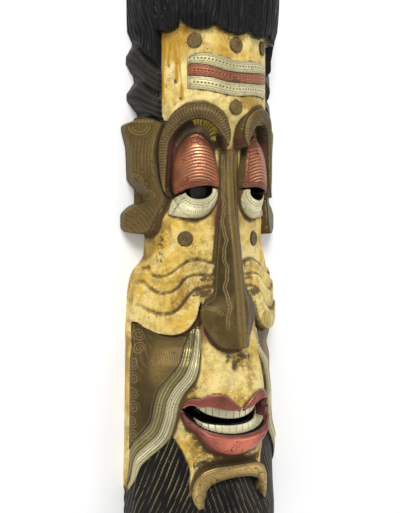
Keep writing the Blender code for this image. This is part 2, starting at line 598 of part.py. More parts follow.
# Mouth and chin.
sheet("upper_lip", drawn_in(np.concatenate([UPPER_LIP, MOUTH_TOP[::-1]]), 0.2), COPPER)
sheet("lower_lip", drawn_in(np.concatenate([LOWER_LIP, MOUTH_FLOOR]), 0.2), COPPER)
top_run = MOUTH_TOP[np.abs(MOUTH_TOP[:, 0] + 2) < 55] - (0, 1.9)
sheet("upper_teeth", np.concatenate([UPPER_TEETH_EDGE, top_run[::-1]]), WHITE_METAL)
floor_run = MOUTH_FLOOR[np.abs(MOUTH_FLOOR[:, 0] + 3) < 58] + (0, 0.9)
sheet("lower_teeth", np.concatenate([LOWER_TEETH_EDGE, floor_run]), WHITE_METAL)
sheet("chin_crescent", stroke_outline(CRESCENT, seam), GOLD_BRASS)


def creases():
    """Lines that the triangles follow: both sides of each carved step, and the locks of hair."""
    lines = []
    steps = [(line, 1.0, -1.8) for line in FOLDS] + [(JOWL[2:], 1.0, -1.6)]
    steps += [(line, 1.2, -1.0) for line in ROLLS]
    for line, above, below in steps:
        line = thinned(smooth_line([point for point in line if point[0] < EDGE - 1], 2), OUTLINE_SLACK)
        for side in (-1, 1):
            lines += [line * (side, 1) + (0, above), line * (side, 1) + (0, below)]
    s = np.arange(-TEMPLE + 3, TEMPLE, 5.0)
    lines += [np.stack([s, hairline(s) + shift], axis=1) for shift in (-1.0, 1.6)]
    reach = np.array([348.0, 395.0, 435.0, 465.0])
    for k in range(-LOCKS, LOCKS + 1):
        lines.append(np.stack([np.full(4, k * LOCK_SPACING / 2), reach], axis=1))
    return lines


def pattern():
    """Triangles on the paper: the outlines first, then points where the carving bends most."""
    s = np.linspace(-EDGE, EDGE, SAMPLES_ACROSS)
    y = np.linspace(BOTTOM, TOP, SAMPLES_ALONG)
    grid_s, grid_y = np.meshgrid(s, y)
    height = relief(grid_s.ravel(), grid_y.ravel()).reshape(grid_s.shape)
    fall_y, fall_s = np.gradient(height, y, s)
    fair = 1 / np.sqrt(1 + fall_s ** 2 + fall_y ** 2)
    points = [(x, h) for x in (-EDGE, EDGE) for h in sorted(row[0] for row in SILHOUETTE)]
    points += [(x, h) for x in np.linspace(-EDGE, EDGE, 7)[1:-1] for h in (BOTTOM, TOP)]
    edges = []
    for name, outline, look, thickness, hole in SHEETS:
        for ring_points in (outline, hole):
            if ring_points is None:
                continue
            first = len(points)
            count = len(ring_points)
            points += [tuple(p) for p in ring_points]
            edges += [(first + k, first + (k + 1) % count) for k in range(count)]
    for line in creases():
        first = len(points)
        points += [tuple(p) for p in line]
        edges += [(first + k, first + k + 1) for k in range(len(line) - 1)]
    while True:
        flat, _, faces = delaunay_2d_cdt([Vector(p) for p in points], edges, [], 0, 1e-4, False)[:3]
        flat = np.array([v[:] for v in flat])
        if len(faces) >= LOG_FACES:
            return flat, [tuple(face) for face in faces]
        radii = relief(flat[:, 0], flat[:, 1])
        found = []
        for face in faces:
            corners = flat[list(face)]
            i0, i1 = np.searchsorted(s, [corners[:, 0].min(), corners[:, 0].max()])
            j0, j1 = np.searchsorted(y, [corners[:, 1].min(), corners[:, 1].max()])
            i1, j1 = min(i1 + 1, len(s)), min(j1 + 1, len(y))
            if i1 <= i0 or j1 <= j0:
                continue
            a, b, c = corners
            x, h = grid_s[j0:j1, i0:i1], grid_y[j0:j1, i0:i1]
            size = (b[0] - a[0]) * (c[1] - a[1]) - (c[0] - a[0]) * (b[1] - a[1])
            if abs(size) < 1e-9:
                continue
            wb = ((x - a[0]) * (c[1] - a[1]) - (c[0] - a[0]) * (h - a[1])) / size
            wc = ((b[0] - a[0]) * (h - a[1]) - (x - a[0]) * (b[1] - a[1])) / size
            inside = (wb >= 0) & (wc >= 0) & (wb + wc <= 1)
            flat_height = radii[face[0]] * (1 - wb - wc) + radii[face[1]] * wb + radii[face[2]] * wc
            far = np.min([np.hypot(x - p[0], h - p[1]) for p in corners], axis=0) > NEAREST_POINT
            off = np.abs(flat_height - height[j0:j1, i0:i1]) * fair[j0:j1, i0:i1] * (inside & far)
            j, i = np.unravel_index(np.argmax(off), off.shape)
            found.append((off[j, i], x[j, i], h[j, i]))
        found.sort(reverse=True)
        wanted = min(max((LOG_FACES - len(faces)) // 2, 8), POINTS_PER_ROUND)
        points += [(x, h) for off, x, h in found[:wanted] if off > 0.05]
        if found[0][0] < 0.05:
            return flat, [tuple(face) for face in faces]


# The log's carved front, flat back and ends.
flat, triangles = pattern()
triangles = [tuple(t) if np.cross(flat[t[1]] - flat[t[0]], flat[t[2]] - flat[t[0]]) > 0 else tuple(t[::-1])
             for t in triangles]
radii = relief(flat[:, 0], flat[:, 1])
front = point_at(flat[:, 0], flat[:, 1], radii)
front[np.abs(np.abs(flat[:, 0]) - EDGE) < TINY, 2] = 0
middles = np.array([flat[list(t)].mean(axis=0) for t in triangles])
log = closed_log("carved_wood", front, triangles)


def lifted(cover, distance):
    """The front moved out from the log's axis so that the layer between is of even thickness."""
    normals = np.zeros_like(front)
    for t in cover:
        a, b, c = front[list(t)]
        normals[list(t)] += np.cross(b - a, c - a)
    normals /= np.linalg.norm(normals, axis=1)[:, None] + 1e-12
    turn = flat[:, 0] / WRAP
    out = np.stack([np.sin(turn), np.zeros_like(turn), np.cos(turn)], axis=1)
    lean = np.clip(np.sum(out * normals, axis=1), STEEP, 1)
    return front + out * (distance / lean)[:, None]


for name, outline, look, thickness, hole in SHEETS:
    covered = depth_inside(middles[:, 0], middles[:, 1], outline) > 0
    if hole is not None:
        covered &= depth_inside(middles[:, 0], middles[:, 1], hole) < 0
    cover = [t for t, chosen in zip(triangles, covered) if chosen]
    piece = shell(name, lifted(cover, GAP + thickness), cover, lifted(cover, GAP))
    piece.data.materials.append(finish(name, *look))


def hollow():
    """The trough cut into the back: a long rounded form with its middle on the back plane."""
    mesh = bmesh.new()
    loops = []
    for turn in np.linspace(-math.pi / 2, math.pi / 2, 13)[1:-1]:
        size = math.cos(turn) ** 0.4
        loop = []
        for k in range(20):
            around = 2 * math.pi * k / 20
            loop.append(mesh.verts.new((HOLLOW_WIDTH / 2 * size * math.cos(around), HOLLOW_LENGTH / 2 * math.sin(turn),
                                        HOLLOW_DEPTH * size * math.sin(around))))
        loops.append(loop)
    for one, two in zip(loops, loops[1:]):
        for k in range(20):
            n = (k + 1) % 20
            mesh.faces.new([one[k], one[n], two[n], two[k]])
    mesh.faces.new(loops[0])
    mesh.faces.new(loops[-1][::-1])
    bmesh.ops.triangulate(mesh, faces=mesh.faces)
    bmesh.ops.recalc_face_normals(mesh, faces=mesh.faces)
    data = bpy.data.meshes.new("hollow")
    mesh.to_mesh(data)
    mesh.free()
    thing = bpy.data.objects.new("hollow", data)
    bpy.context.scene.collection.objects.link(thing)
    return thing


# What is cut through: the hollow back, the pupils and the parted mouth.
carve(log, hollow(), "DIFFERENCE")
for side in (-1, 1):
    carve(log, wedge("pupil", drawn_in(PUPIL * (side, 1), 0.4)), "DIFFERENCE")
parting = np.concatenate([UPPER_TEETH_EDGE - (0, 1.2), [(59, -209)], LOWER_TEETH_EDGE[::-1] + (0, 1.2), [(-76, -212)]])
carve(log, wedge("parting", parting), "DIFFERENCE")
log.data.materials.clear()
log.data.materials.append(finish("carved_wood", *YELLOW_WOOD))
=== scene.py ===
# The looks of the wooden mask: a carved and painted half log, clad with nailed sheets of chased metal.
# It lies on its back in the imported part's own frame: metres, face up, the hair pointing to +Y.

import math

import bpy
import numpy as np
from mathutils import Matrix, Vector


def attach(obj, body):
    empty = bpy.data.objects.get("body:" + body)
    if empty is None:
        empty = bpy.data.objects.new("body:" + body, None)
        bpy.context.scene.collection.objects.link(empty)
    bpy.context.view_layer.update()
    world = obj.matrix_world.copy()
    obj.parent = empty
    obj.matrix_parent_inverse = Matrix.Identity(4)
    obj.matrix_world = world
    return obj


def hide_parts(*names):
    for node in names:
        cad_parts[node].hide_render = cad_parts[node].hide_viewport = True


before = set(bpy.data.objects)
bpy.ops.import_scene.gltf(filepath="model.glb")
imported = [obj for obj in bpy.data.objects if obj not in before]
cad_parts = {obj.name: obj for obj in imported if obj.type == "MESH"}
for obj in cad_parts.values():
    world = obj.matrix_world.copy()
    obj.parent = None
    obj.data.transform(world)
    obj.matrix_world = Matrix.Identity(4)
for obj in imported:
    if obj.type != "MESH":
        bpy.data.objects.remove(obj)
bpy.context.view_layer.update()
bpy.ops.object.select_all(action="DESELECT")


# The carved log
# Half a softwood log with a bearded old face cut into it, painted yellow and black and hollowed behind.
# It is drawn in millimetres on paper wrapped round the log, s across from the middle of the face and y
# along from the log's middle, and every sheet of metal further down is cut to lines of this drawing.
MM = 0.001
WRAP = 110.0
EDGE = WRAP * math.pi / 2
TOP = 500.0
BOTTOM = -500.0
BROW_HEIGHT = 11.0
FOLD_STEP = 3.4
JOWL_DROP = 3.0
STRAND_HEIGHT = 6.2
HAIR_LOCK_DEPTH = 1.8
LOCK_SPACING = 16.0
SEAM = 0.6


def rise(x, low, high):
    t = np.clip((x - low) / (high - low), 0, 1)
    return t * t * (3 - 2 * t)


def through(x, points):
    """A smooth curve through a few points, with no overshoot."""
    knots = np.array([point[0] for point in points], float)
    values = np.array([point[1] for point in points], float)
    return between(x, knots, values[:, None])


def between(x, knots, values):
    """The same for values that differ from place to place, one row for each knot."""
    x = np.asarray(x, float)
    steps = (knots[1:] - knots[:-1])[:, None]
    slopes = (values[1:] - values[:-1]) / steps
    product = slopes[1:] * slopes[:-1]
    total = slopes[1:] + slopes[:-1]
    lean = np.zeros_like(values)
    lean[1:-1] = np.where(product > 0, 2 * product / np.where(product > 0, total, 1), 0)
    i = np.clip(np.searchsorted(knots, x) - 1, 0, len(knots) - 2)
    place = np.arange(x.size) if values.shape[1] > 1 else np.zeros(x.size, int)
    h = steps[i, 0]
    t = np.clip((x - knots[i]) / h, 0, 1)
    here = (1 + 2 * t) * (1 - t) ** 2 * values[i, place] + t * t * (3 - 2 * t) * values[i + 1, place]
    return here + t * (1 - t) ** 2 * h * lean[i, place] - t * t * (1 - t) * h * lean[i + 1, place]


def smooth_line(points, steps=5, closed=False):
    """A rounded line through points of any width, as rows of numbers."""
    points = np.array(points, float)
    if closed:
        before, after, last = points[-1:], points[:2], len(points)
    else:
        before, after, last = 2 * points[:1] - points[1:2], 2 * points[-1:] - points[-2:-1], len(points) - 1
    run = np.concatenate([before, points, after])
    line = []
    for i in range(last):
        p0, p1, p2, p3 = run[i:i + 4]
        for t in np.arange(steps) / steps:
            bend = (2 * p0 - 5 * p1 + 4 * p2 - p3) * t + (3 * p1 - p0 - 3 * p2 + p3) * t * t
            line.append(p1 + 0.5 * t * (p2 - p0 + bend))
    if not closed:
        line.append(points[-1])
    return np.array(line)


def nearest(s, y, line, closed=False):
    """Distance to a line and the line's own values there."""
    distance = np.full(s.shape, 1e9)
    values = np.zeros((line.shape[1],) + s.shape)
    ends = np.roll(line, -1, axis=0) if closed else line[1:]
    for start, end in zip(line, ends):
        run = end - start
        size = run[0] ** 2 + run[1] ** 2 + 1e-12
        t = np.clip(((s - start[0]) * run[0] + (y - start[1]) * run[1]) / size, 0, 1)
        apart = np.hypot(s - start[0] - t * run[0], y - start[1] - t * run[1])
        closer = apart < distance
        distance = np.where(closer, apart, distance)
        for k in range(line.shape[1]):
            values[k] = np.where(closer, start[k] + t * run[k], values[k])
    return distance, values


def depth_inside(s, y, outline):
    """Distance from an outline, positive inside it."""
    distance, _ = nearest(s, y, outline, closed=True)
    odd = np.zeros(s.shape, bool)
    for start, end in zip(outline, np.roll(outline, -1, axis=0)):
        if start[1] == end[1]:
            continue
        crosses = (start[1] > y) != (end[1] > y)
        at = start[0] + (y - start[1]) * (end[0] - start[0]) / (end[1] - start[1])
        odd ^= crosses & (s < at)
    return np.where(odd, distance, -distance)


def stroke_height(s, y, stroke):
    """How high a rounded stroke stands there, from 0 at its edges to 1 along its middle."""
    distance, values = nearest(s, y, stroke)
    return np.sqrt(np.clip(1 - (distance / np.maximum(values[2], 0.1)) ** 2, 0, 1))


def stroke_outline(stroke, trim):
    """The closed outline of a stroke whose third value is its half width."""
    run = np.gradient(stroke[:, :2], axis=0)
    normal = np.stack([-run[:, 1], run[:, 0]], axis=1)
    normal /= np.linalg.norm(normal, axis=1)[:, None]
    half = np.maximum(stroke[:, 2] - trim, 0.2)[:, None]
    return np.concatenate([stroke[:, :2] + normal * half, (stroke[:, :2] - normal * half)[::-1]])


# The wood's radius at five places round the log, from the nose to the back edge, at heights along it.
ROUND = np.array([0, 38, 77, 115, EDGE])
HAIR = {500: (121, 122, 122, 122, 122), 405: (124, 125, 126, 126, 124), 355: (122, 123, 124, 123, 124),
        335: (120, 121, 120, 118, 118), 300: (120, 120, 118, 114, 114)}
FACE = {360: (111, 110, 107, 104, 104), 222: (111, 110, 107, 104, 104), 198: (101, 96, 95, 98, 112),
        165: (93, 91, 92, 97, 117), 95: (90, 90, 91, 97, 106), 60: (88, 88, 89, 99, 98),
        34: (88, 88, 88, 98, 92.5), 12: (88, 88, 91, 102, 94.6), -18: (89, 89, 96, 108, 115.6),
        -45: (90, 90, 98, 109, 121), -76: (90, 91, 98, 108, 123), -99: (91, 93, 97, 107, 124),
        -125: (95, 97, 99, 108, 122), -165: (104, 104, 100, 108, 122), -195: (112, 110, 101, 107, 123),
        -240: (111, 109, 99, 109, 124), -275: (99, 97, 97, 111, 125), -292: (90, 91, 97, 113, 126),
        -345: (97, 101, 108, 117, 126.5), -395: (110, 112, 116, 121, 127), -500: (118, 120, 122, 124, 127)}
SILHOUETTE = [(500, 123), (344, 121), (324, 113), (300, 125), (270, 110), (245, 123), (216, 104), (200, 130),
              (167, 123), (125, 121), (108, 108), (93, 101), (82, 120), (69, 131), (55, 131), (44, 122),
              (40, 92.5), (34, 92.5), (12, 94.6), (-18, 115.6), (-45, 121.8), (-99, 124), (-240, 125),
              (-345, 127), (-500, 127)]


def ground(a, y, table):
    heights = sorted(table)
    knots = np.array(heights, float)
    columns = np.array([table[h] for h in heights], float).T
    values = np.stack([between(y, knots, column[:, None]) for column in columns])
    return between(a, ROUND, values)


# Outlines and lines on one half of the face; the other half mirrors them.
BROW = smooth_line([(15.5, 170, 2.5), (17, 186, 8), (25, 203, 11.5), (36, 213, 12.2), (52, 218, 12),
                    (69, 216, 12), (86, 207, 11.5), (100, 192, 10.5), (108, 175, 9.5), (110, 155, 9),
                    (109.5, 138, 7.5), (109, 126, 6.2), (106.8, 111, 4), (101.5, 98, 1.5)])
UPPER_LID = smooth_line([(61, 187), (78, 180), (91, 165), (97.5, 145), (99.5, 122), (98.5, 107), (93.5, 99.5),
                         (82, 103), (67, 108), (44, 111.5), (23.5, 110.5), (23, 124), (27, 142), (34, 168),
                         (47, 182)], 4, True)
LOWER_LID = smooth_line([(100, 92), (92, 96.5), (84, 99.5), (62, 106), (30, 109), (23.5, 102), (24, 91),
                         (30, 80), (40, 71), (53, 66), (67, 65), (88, 67), (105, 71), (104, 82)], 4, True)
NOSE = smooth_line([(8, 166), (16, 163), (19, 155), (19, 130), (18, 92), (22, 55), (26, 20), (29, -10),
                    (31.5, -36), (35, -47), (45, -54), (52, -62), (54.5, -71), (53, -81), (48, -91),
                    (40, -103), (32, -113), (23, -120), (10, -123), (0, -122.5)], 3)
NOSE_RIGHT = smooth_line([(0, -122.5), (8, -122.5), (17, -117), (24, -108), (30, -97), (36, -87), (43, -78),
                          (48, -70), (48, -61), (43, -53), (35, -46), (30.5, -36), (28, -10), (26, 20),
                          (22, 55), (18, 92), (19, 130), (19, 155), (16, 163), (8, 166)], 3)
NOSE_OUTLINE = np.concatenate([NOSE * (-1, 1), NOSE_RIGHT])
NOSE_RIDGE = [(-130, 129), (-115, 128.7), (-51, 121.5), (20, 111), (92, 97.7), (158, 93), (170, 93)]
NOSE_HALF = [(-123, 30), (-110, 42), (-95, 53), (-70, 57), (-52, 44), (-36, 33), (20, 27), (92, 19),
             (166, 18)]
FOLDS = [[(36, -0.5), (46, 2.6), (59, 4.4), (72, 2.7), (84, -3.7), (96, -12.7), (107, -18.2), (116, -19.4),
          (125, -18), (138, -9), (149, -10), (173, -20)],
         [(37, -18), (47, -17), (59, -16.3), (71, -19), (88, -36), (98, -41.7), (109, -44), (118, -41.6),
          (129, -35), (140, -28), (157, -30), (173, -38)],
         [(40, -34.8), (47, -35.3), (59, -37.1), (67, -43), (84, -64.7), (94, -71.3), (107, -73.7),
          (118, -71.8), (130, -67), (142, -61), (161, -62), (173, -68)]]
JOWL = [(46, -40), (54, -60), (58, -76), (63, -84), (71, -93.4), (82, -99.8), (97, -102.5), (113, -100.6),
        (130, -93.5), (145, -85), (165, -83.6), (173, -85)]
ROLLS = [[(100, 276), (115, 281), (124, 287), (139, 299), (159, 321), (173, 325)],
         [(100, 238), (115, 243), (132, 252), (154, 268), (173, 271)],
         [(100, 203), (115, 205), (131, 211), (159, 215), (173, 216)]]
EAR = np.array([(110.5, 202), (117, 205.5), (131, 211), (159, 215), (EDGE - 0.5, 215.5), (EDGE - 0.5, 46),
                (150, 42), (139, 42.5), (129, 46), (117, 70), (107, 90), (105, 97), (112.6, 108), (118, 125),
                (120.6, 140), (122, 155), (121, 170), (118.2, 184)], float)
STRIP_INNER = 157.0
INNER_STRAND = smooth_line([(57, -94, 4.5), (58.5, -121, 6), (66, -157, 8.3), (82, -180, 8.5),
                            (91, -199, 8.8), (95, -221, 8.6), (104, -247, 8.6), (125, -271, 8),
                            (136.5, -287, 7.3), (144, -309, 6), (156, -330, 1)])
OUTER_EDGE = [(71, -96), (73, -106), (80, -120), (83, -141), (97, -162), (111, -180), (118, -203),
              (121, -224), (132, -243), (145, -258), (154, -272), (156, -292), (159, -310), (163, -328)]
HAIR_PEAKS = [(-121, 341), (-80, 346.6), (-34, 343), (20, 337.6), (62, 341), (121, 338)]
HAIR_DROP = 10.5
TEMPLE = 117.0
MOUTH_TOP = smooth_line([(-79, -206), (-66, -200), (-53, -203), (-42, -201.5), (-25, -206), (-10, -208.5),
                         (0, -207), (14, -206.5), (30, -198), (42, -196.5), (54, -199), (62, -206)], 3)
MOUTH_FLOOR = smooth_line([(62, -207.5), (62, -215), (58, -223), (51, -230), (41, -236), (25, -241),
                           (0, -243), (-22, -241), (-44, -235), (-58, -227), (-72, -217), (-79, -207.5)], 3)
MOUTH = np.concatenate([MOUTH_TOP, MOUTH_FLOOR])
UPPER_LIP = smooth_line([(-81, -206), (-75, -197), (-66, -191.5), (-54, -191), (-44, -186), (-32, -183.5),
                         (-22, -186), (-12, -194), (-2, -204.5), (4, -205.5), (14, -197), (26, -187),
                         (38, -183), (50, -186), (62, -190), (73, -195), (79, -203)], 3)
LOWER_LIP = smooth_line([(-82, -208), (-81.5, -216), (-78, -224), (-73, -233), (-61, -240), (-56, -248),
                         (-50, -256), (-41, -266), (-27, -273), (-10, -277), (10, -277), (27, -273),
                         (41, -265), (50, -255), (56, -246), (62, -238), (73, -230), (79, -219),
                         (80, -206)], 3)
UPPER_TEETH_EDGE = smooth_line([(-60, -206), (-47, -213.5), (-31, -218.5), (-14, -222), (0, -223), (16, -222),
                                (32, -218), (44, -213), (54, -206)], 3)
LOWER_TEETH_EDGE = smooth_line([(-66, -220), (-50, -227), (-32, -230), (-6, -232), (16, -231.5), (36, -228),
                                (48, -223), (58, -214)], 3)
CRESCENT = smooth_line([(53, -346, 2.5), (55.5, -333, 8.5), (54, -319, 10.5), (46, -307, 11.2),
                        (32, -301, 10.8), (16, -299, 9.6), (0, -298.5, 9.2), (-16, -299, 9.6),
                        (-32, -301, 10.8), (-46, -307, 11.2), (-54, -319, 10.5), (-55.5, -333, 9),
                        (-52.5, -347, 4.5)])


def hairline(s):
    """Scallops with pointed peaks between them."""
    peaks = np.array(HAIR_PEAKS, float)
    i = np.clip(np.searchsorted(peaks[:, 0], s) - 1, 0, len(peaks) - 2)
    t = np.clip((s - peaks[i, 0]) / (peaks[i + 1, 0] - peaks[i, 0]), 0, 1)
    return peaks[i, 1] + t * (peaks[i + 1, 1] - peaks[i, 1]) - HAIR_DROP * (1 - (2 * t - 1) ** 2) ** 0.6


def hair(s, a, y):
    """The fringe, and below it three rolls that sweep back over each temple."""
    r = ground(a, y, HAIR)
    lines = [through(a, line) for line in ROLLS]
    crest = 113.5 + 11.5 * rise(a, TEMPLE - 5, EDGE)
    side = rise(a, TEMPLE - 9, TEMPLE + 4)
    first = crest - 12 + 12 * np.sqrt(rise(y - lines[0], 0, 13))
    r += side * (1 - rise(y - lines[0], 12, 40)) * (first - r)
    for upper, lower in zip(lines, lines[1:]):
        t = np.clip((y - lower) / (upper - lower), 0, 1)
        roll = crest - 12 + 12 * np.sin(math.pi * t ** 0.85) ** 0.6
        r = np.where((y <= upper) & (a > TEMPLE - 9), roll, r)
    locks = HAIR_LOCK_DEPTH * np.abs(np.sin(math.pi * s / LOCK_SPACING))
    return r - HAIR_LOCK_DEPTH * 0.6 + locks * rise(y - lines[0], 0, 12) * 0.9


def eye(a, y, r):
    """A bulging ball under both lids, with the upper lid standing over the lower one."""
    below = np.where(y < 120, 56.0, 67.0)
    ball = 1 - ((a - 62) / 46) ** 2 - ((y - 120) / below) ** 2
    dome = np.where(ball > 0, 88 + 20 * np.sqrt(np.clip(ball, 0, 1)), 0)
    lid = rise(depth_inside(a, y, UPPER_LID), -0.6, 0.8)
    lower = rise(depth_inside(a, y, LOWER_LID), -0.6, 0.8) * (1 - lid)
    r = r + lower * (np.maximum(dome, r + 3) - r)
    return r + lid * (np.maximum(dome + 2.5, 97) - r)


def nose(s, y, r):
    """A long ridge, broader over its left nostril than over its right one."""
    a = np.abs(s)
    inside = depth_inside(s, y, NOSE_OUTLINE)
    half = through(y, NOSE_HALF)
    right = through(y, [(-123, 19), (-110, 27), (-95, 36), (-78, 47), (-62, 52), (-52, 44), (-36, 33)])
    half = np.where(s > 0, np.minimum(half, right), half)
    t = np.clip(a / half, 0, 1)
    ridge = through(y, NOSE_RIDGE)
    wall = through(y, [(-123, 118), (-105, 103), (-85, 97), (-60, 95), (-30, 94), (20, 91), (92, 91),
                       (166, 90)])
    lift = ridge - wall
    slope = 1 - np.clip((t - 0.2) / 0.8, 0, 1) ** 1.05
    wing = 5.5 * np.exp(-((t - 0.8) / 0.25) ** 2) * rise(y, -118, -90) * (1 - rise(y, -66, -40))
    tip = rise(y, -126, -119)
    return np.where(inside > 0, np.maximum((wall + lift * slope + wing) * tip + r * (1 - tip), r + 1), r)


def cheeks(a, y, r):
    """Folds that step outwards one below the other, and the jowl that drops back under the last."""
    step = FOLD_STEP * (1 - rise(a, 150, 170))
    for line in FOLDS:
        r = r + step * rise(through(a, line) - y, -0.8, 1.6)
    under = rise(through(a, JOWL) - y, -0.7, 1.2) * rise(a, 50, 56)
    drop = (len(FOLDS) * step + JOWL_DROP) * rise(y, -150, -118)
    return r - under * drop * (1 - 0.6 * rise(a, 150, 160))


def strip(a, y, r):
    """The plain wooden rim along the beard's side."""
    edge = through(y, [(-340, EDGE), (-325, 167), (-300, STRIP_INNER), (-80, STRIP_INNER)])
    return r + 3.0 * rise(a - edge, -0.5, 1.5) * rise(-y, 84, 90) * (1 - rise(-y, 325, 338))


def whiskers(a, y, r):
    """The two raised strands of the moustache, a rounded one and a flat one outside it."""
    edge = through(-y, [(-point[1], point[0]) for point in OUTER_EDGE])
    edge = np.where(-y < 96, 71.0, edge)
    span = rise(-y, 94, 100) * (1 - rise(-y, 325, 335))
    strand_middle = nearest(a, y, INNER_STRAND)[1][0]
    r = r + 2.6 * rise(a - strand_middle, 0, 2) * rise(edge - a, -0.8, 1.5) * span
    return r + STRAND_HEIGHT * stroke_height(a, y, INNER_STRAND)


def mouth(s, a, y, r):
    """Mounds over the lip, the two lips, and rows of teeth set back between them."""
    mound = 4.5 * np.exp(-((a - 27) / 17) ** 2 - ((y + 172) / 15) ** 2)
    groove = 4.5 * np.exp(-(s / 8.5) ** 2) * rise(-y, 125, 150) * (1 - rise(-y, 196, 206))
    r = r + mound - groove
    open_at = depth_inside(s, y, MOUTH)
    upper = depth_inside(s, y, np.concatenate([UPPER_LIP, [(0, -225)]]))
    lower = depth_inside(s, y, np.concatenate([LOWER_LIP, [(0, -200)]]))
    rim = np.exp(-(open_at / 7) ** 2)
    r = r + np.where(y > -212, rise(upper, -1, 3) * (2 + 2 * rim), rise(lower, -1, 6) * 5.5)
    full = 4.5 * rise(lower, 0, 14) * rise(-open_at, 0, 8) * (y < -225)
    teeth = through(a, [(0, 108), (30, 106.5), (60, 99), (84, 88)])
    teeth = teeth + 3.5 * (1 - rise(y, -236, -222)) * (1 - rise(a, 50, 75))
    sunk = rise(open_at, 0, 1.6)
    return (r + full) * (1 - sunk) + teeth * sunk


def chin(s, a, y, r):
    """A crescent that stands over a round tuft of beard."""
    tuft = 1 - (a / 50) ** 2 - ((y + 352) / 50) ** 2
    r = np.where(y < -306, np.maximum(r, 88 + 23 * np.sqrt(np.clip(tuft, 0, 1)) * (tuft > 0)), r)
    arc = stroke_height(s, y, CRESCENT)
    arc_base = through(a, [(0, 111), (40, 113), (58, 115), (80, 115)])
    return np.where(arc > 0.02, np.maximum(arc_base + 2.5 * arc, r + 1), r)


def relief(s, y):
    """The wood's radius in millimetres for places on the paper."""
    a = np.abs(s)
    width = through(y, sorted(SILHOUETTE))
    face = ground(a, y, FACE)
    face = eye(a, y, face)
    plate = 104.2 / np.cos(np.radians(a / WRAP * 180 / math.pi - 45))
    ear = rise(depth_inside(a, y, EAR), -0.6, 0.8)
    face = face + ear * (np.maximum(plate, face) - face)
    forehead = ground(a, np.full_like(y, 260.0), FACE)
    brow = stroke_height(a, y, BROW)
    ridge = forehead - 3 + (BROW_HEIGHT + 1) * brow
    face = np.where(brow > 0.02, np.maximum(ridge, face), face)
    face = cheeks(a, y, face)
    face = strip(a, y, face)
    face = whiskers(a, y, face)
    face = mouth(s, a, y, face)
    face = nose(s, y, face)
    face = chin(s, a, y, face)
    over = rise(y - hairline(s), -0.6, 1.2)
    temple = rise(a - TEMPLE, -0.8, 0.8) * rise(y - through(a, ROLLS[2]), -0.6, 0.8)
    hairy = np.maximum(over, temple)
    r = face + hairy * (hair(s, a, y) - face)
    side = width / np.maximum(np.sin(a / WRAP), 0.3)
    r = r - np.log1p(np.exp(np.clip((r - side) / 1.2, -30, 30))) * 1.2
    crown = np.sqrt(np.clip(1 - rise(y, 415, 506) ** 2, 0.02, 1))
    beard = np.sqrt(np.clip(1 - ((-y - 360) / 150).clip(0, 1) ** 2.4, 0.02, 1))
    slim = 1 - 0.085 * rise(s, 45, 115) * rise(-y, 105, 150)
    return r * crown * beard * slim


def point_at(s, y, r):
    """A place in the model, in metres."""
    turn = s / WRAP
    across = r * MM
    return np.stack([across * np.sin(turn), y * MM, across * np.cos(turn)], axis=-1)


def area_inside(outline):
    """Twice an outline's area, less than 0 where it runs clockwise."""
    return np.sum(outline[:, 0] * np.roll(outline[:, 1], -1) - outline[:, 1] * np.roll(outline[:, 0], -1))


def drawn_in(outline, inset):
    """An outline made a little smaller, so that neighbours don't touch."""
    run = np.roll(outline, -1, axis=0) - np.roll(outline, 1, axis=0)
    normal = np.stack([run[:, 1], -run[:, 0]], axis=1)
    normal /= np.linalg.norm(normal, axis=1)[:, None] + 1e-9
    return outline - normal * inset * np.sign(area_inside(outline))


def beside(line, distance):
    """An open line moved sideways, to the left of its own direction."""
    run = np.gradient(line[:, :2], axis=0)
    normal = np.stack([-run[:, 1], run[:, 0]], axis=1)
    return line[:, :2] + normal / np.linalg.norm(normal, axis=1)[:, None] * distance


def ring(s, y, radius, surface):
    """A round outline on the surface, undone for the way the paper stretches there."""
    turn = np.linspace(0, 2 * math.pi, 40, endpoint=False)
    stretch = WRAP / surface
    return np.stack([s + radius * np.cos(turn) * stretch, y + radius * np.sin(turn)], axis=1)


def thinned(line, slack):
    """Leaves out the points that lie almost on the line between their neighbours."""
    if len(line) < 3:
        return line
    run = line[-1] - line[0]
    gap = line[1:-1] - line[0]
    size = np.hypot(*run)
    apart = np.hypot(*gap.T) if size < 1e-6 else np.abs(gap[:, 0] * run[1] - gap[:, 1] * run[0]) / size
    far = int(np.argmax(apart)) + 1
    if apart[far - 1] < slack:
        return np.array([line[0], line[-1]])
    return np.concatenate([thinned(line[:far + 1], slack)[:-1], thinned(line[far:], slack)])


def engraved(distance, width):
    """A cut line: 1 along its middle, 0 from its width outwards."""
    return 1 - rise(np.abs(distance), width * 0.35, width)


def spaced(x, pitch):
    """Signed distance to the nearest of many lines at one pitch."""
    return (x / pitch - np.rint(x / pitch)) * pitch


# Where the metal lies on the drawing. The wood is cut back a little under it, and is darkened beside it
# with painted shade and dirt.
COVERS = {}


def cover(name, outline):
    outline = np.asarray(outline, float)[:, :2]
    closed = np.concatenate([outline, outline[:1]])
    COVERS[name] = thinned(closed, 0.1)[:-1]


def cover_both(name, outline):
    cover(name + "_left", np.asarray(outline, float)[:, :2] * (-1, 1))
    cover(name + "_right", outline)


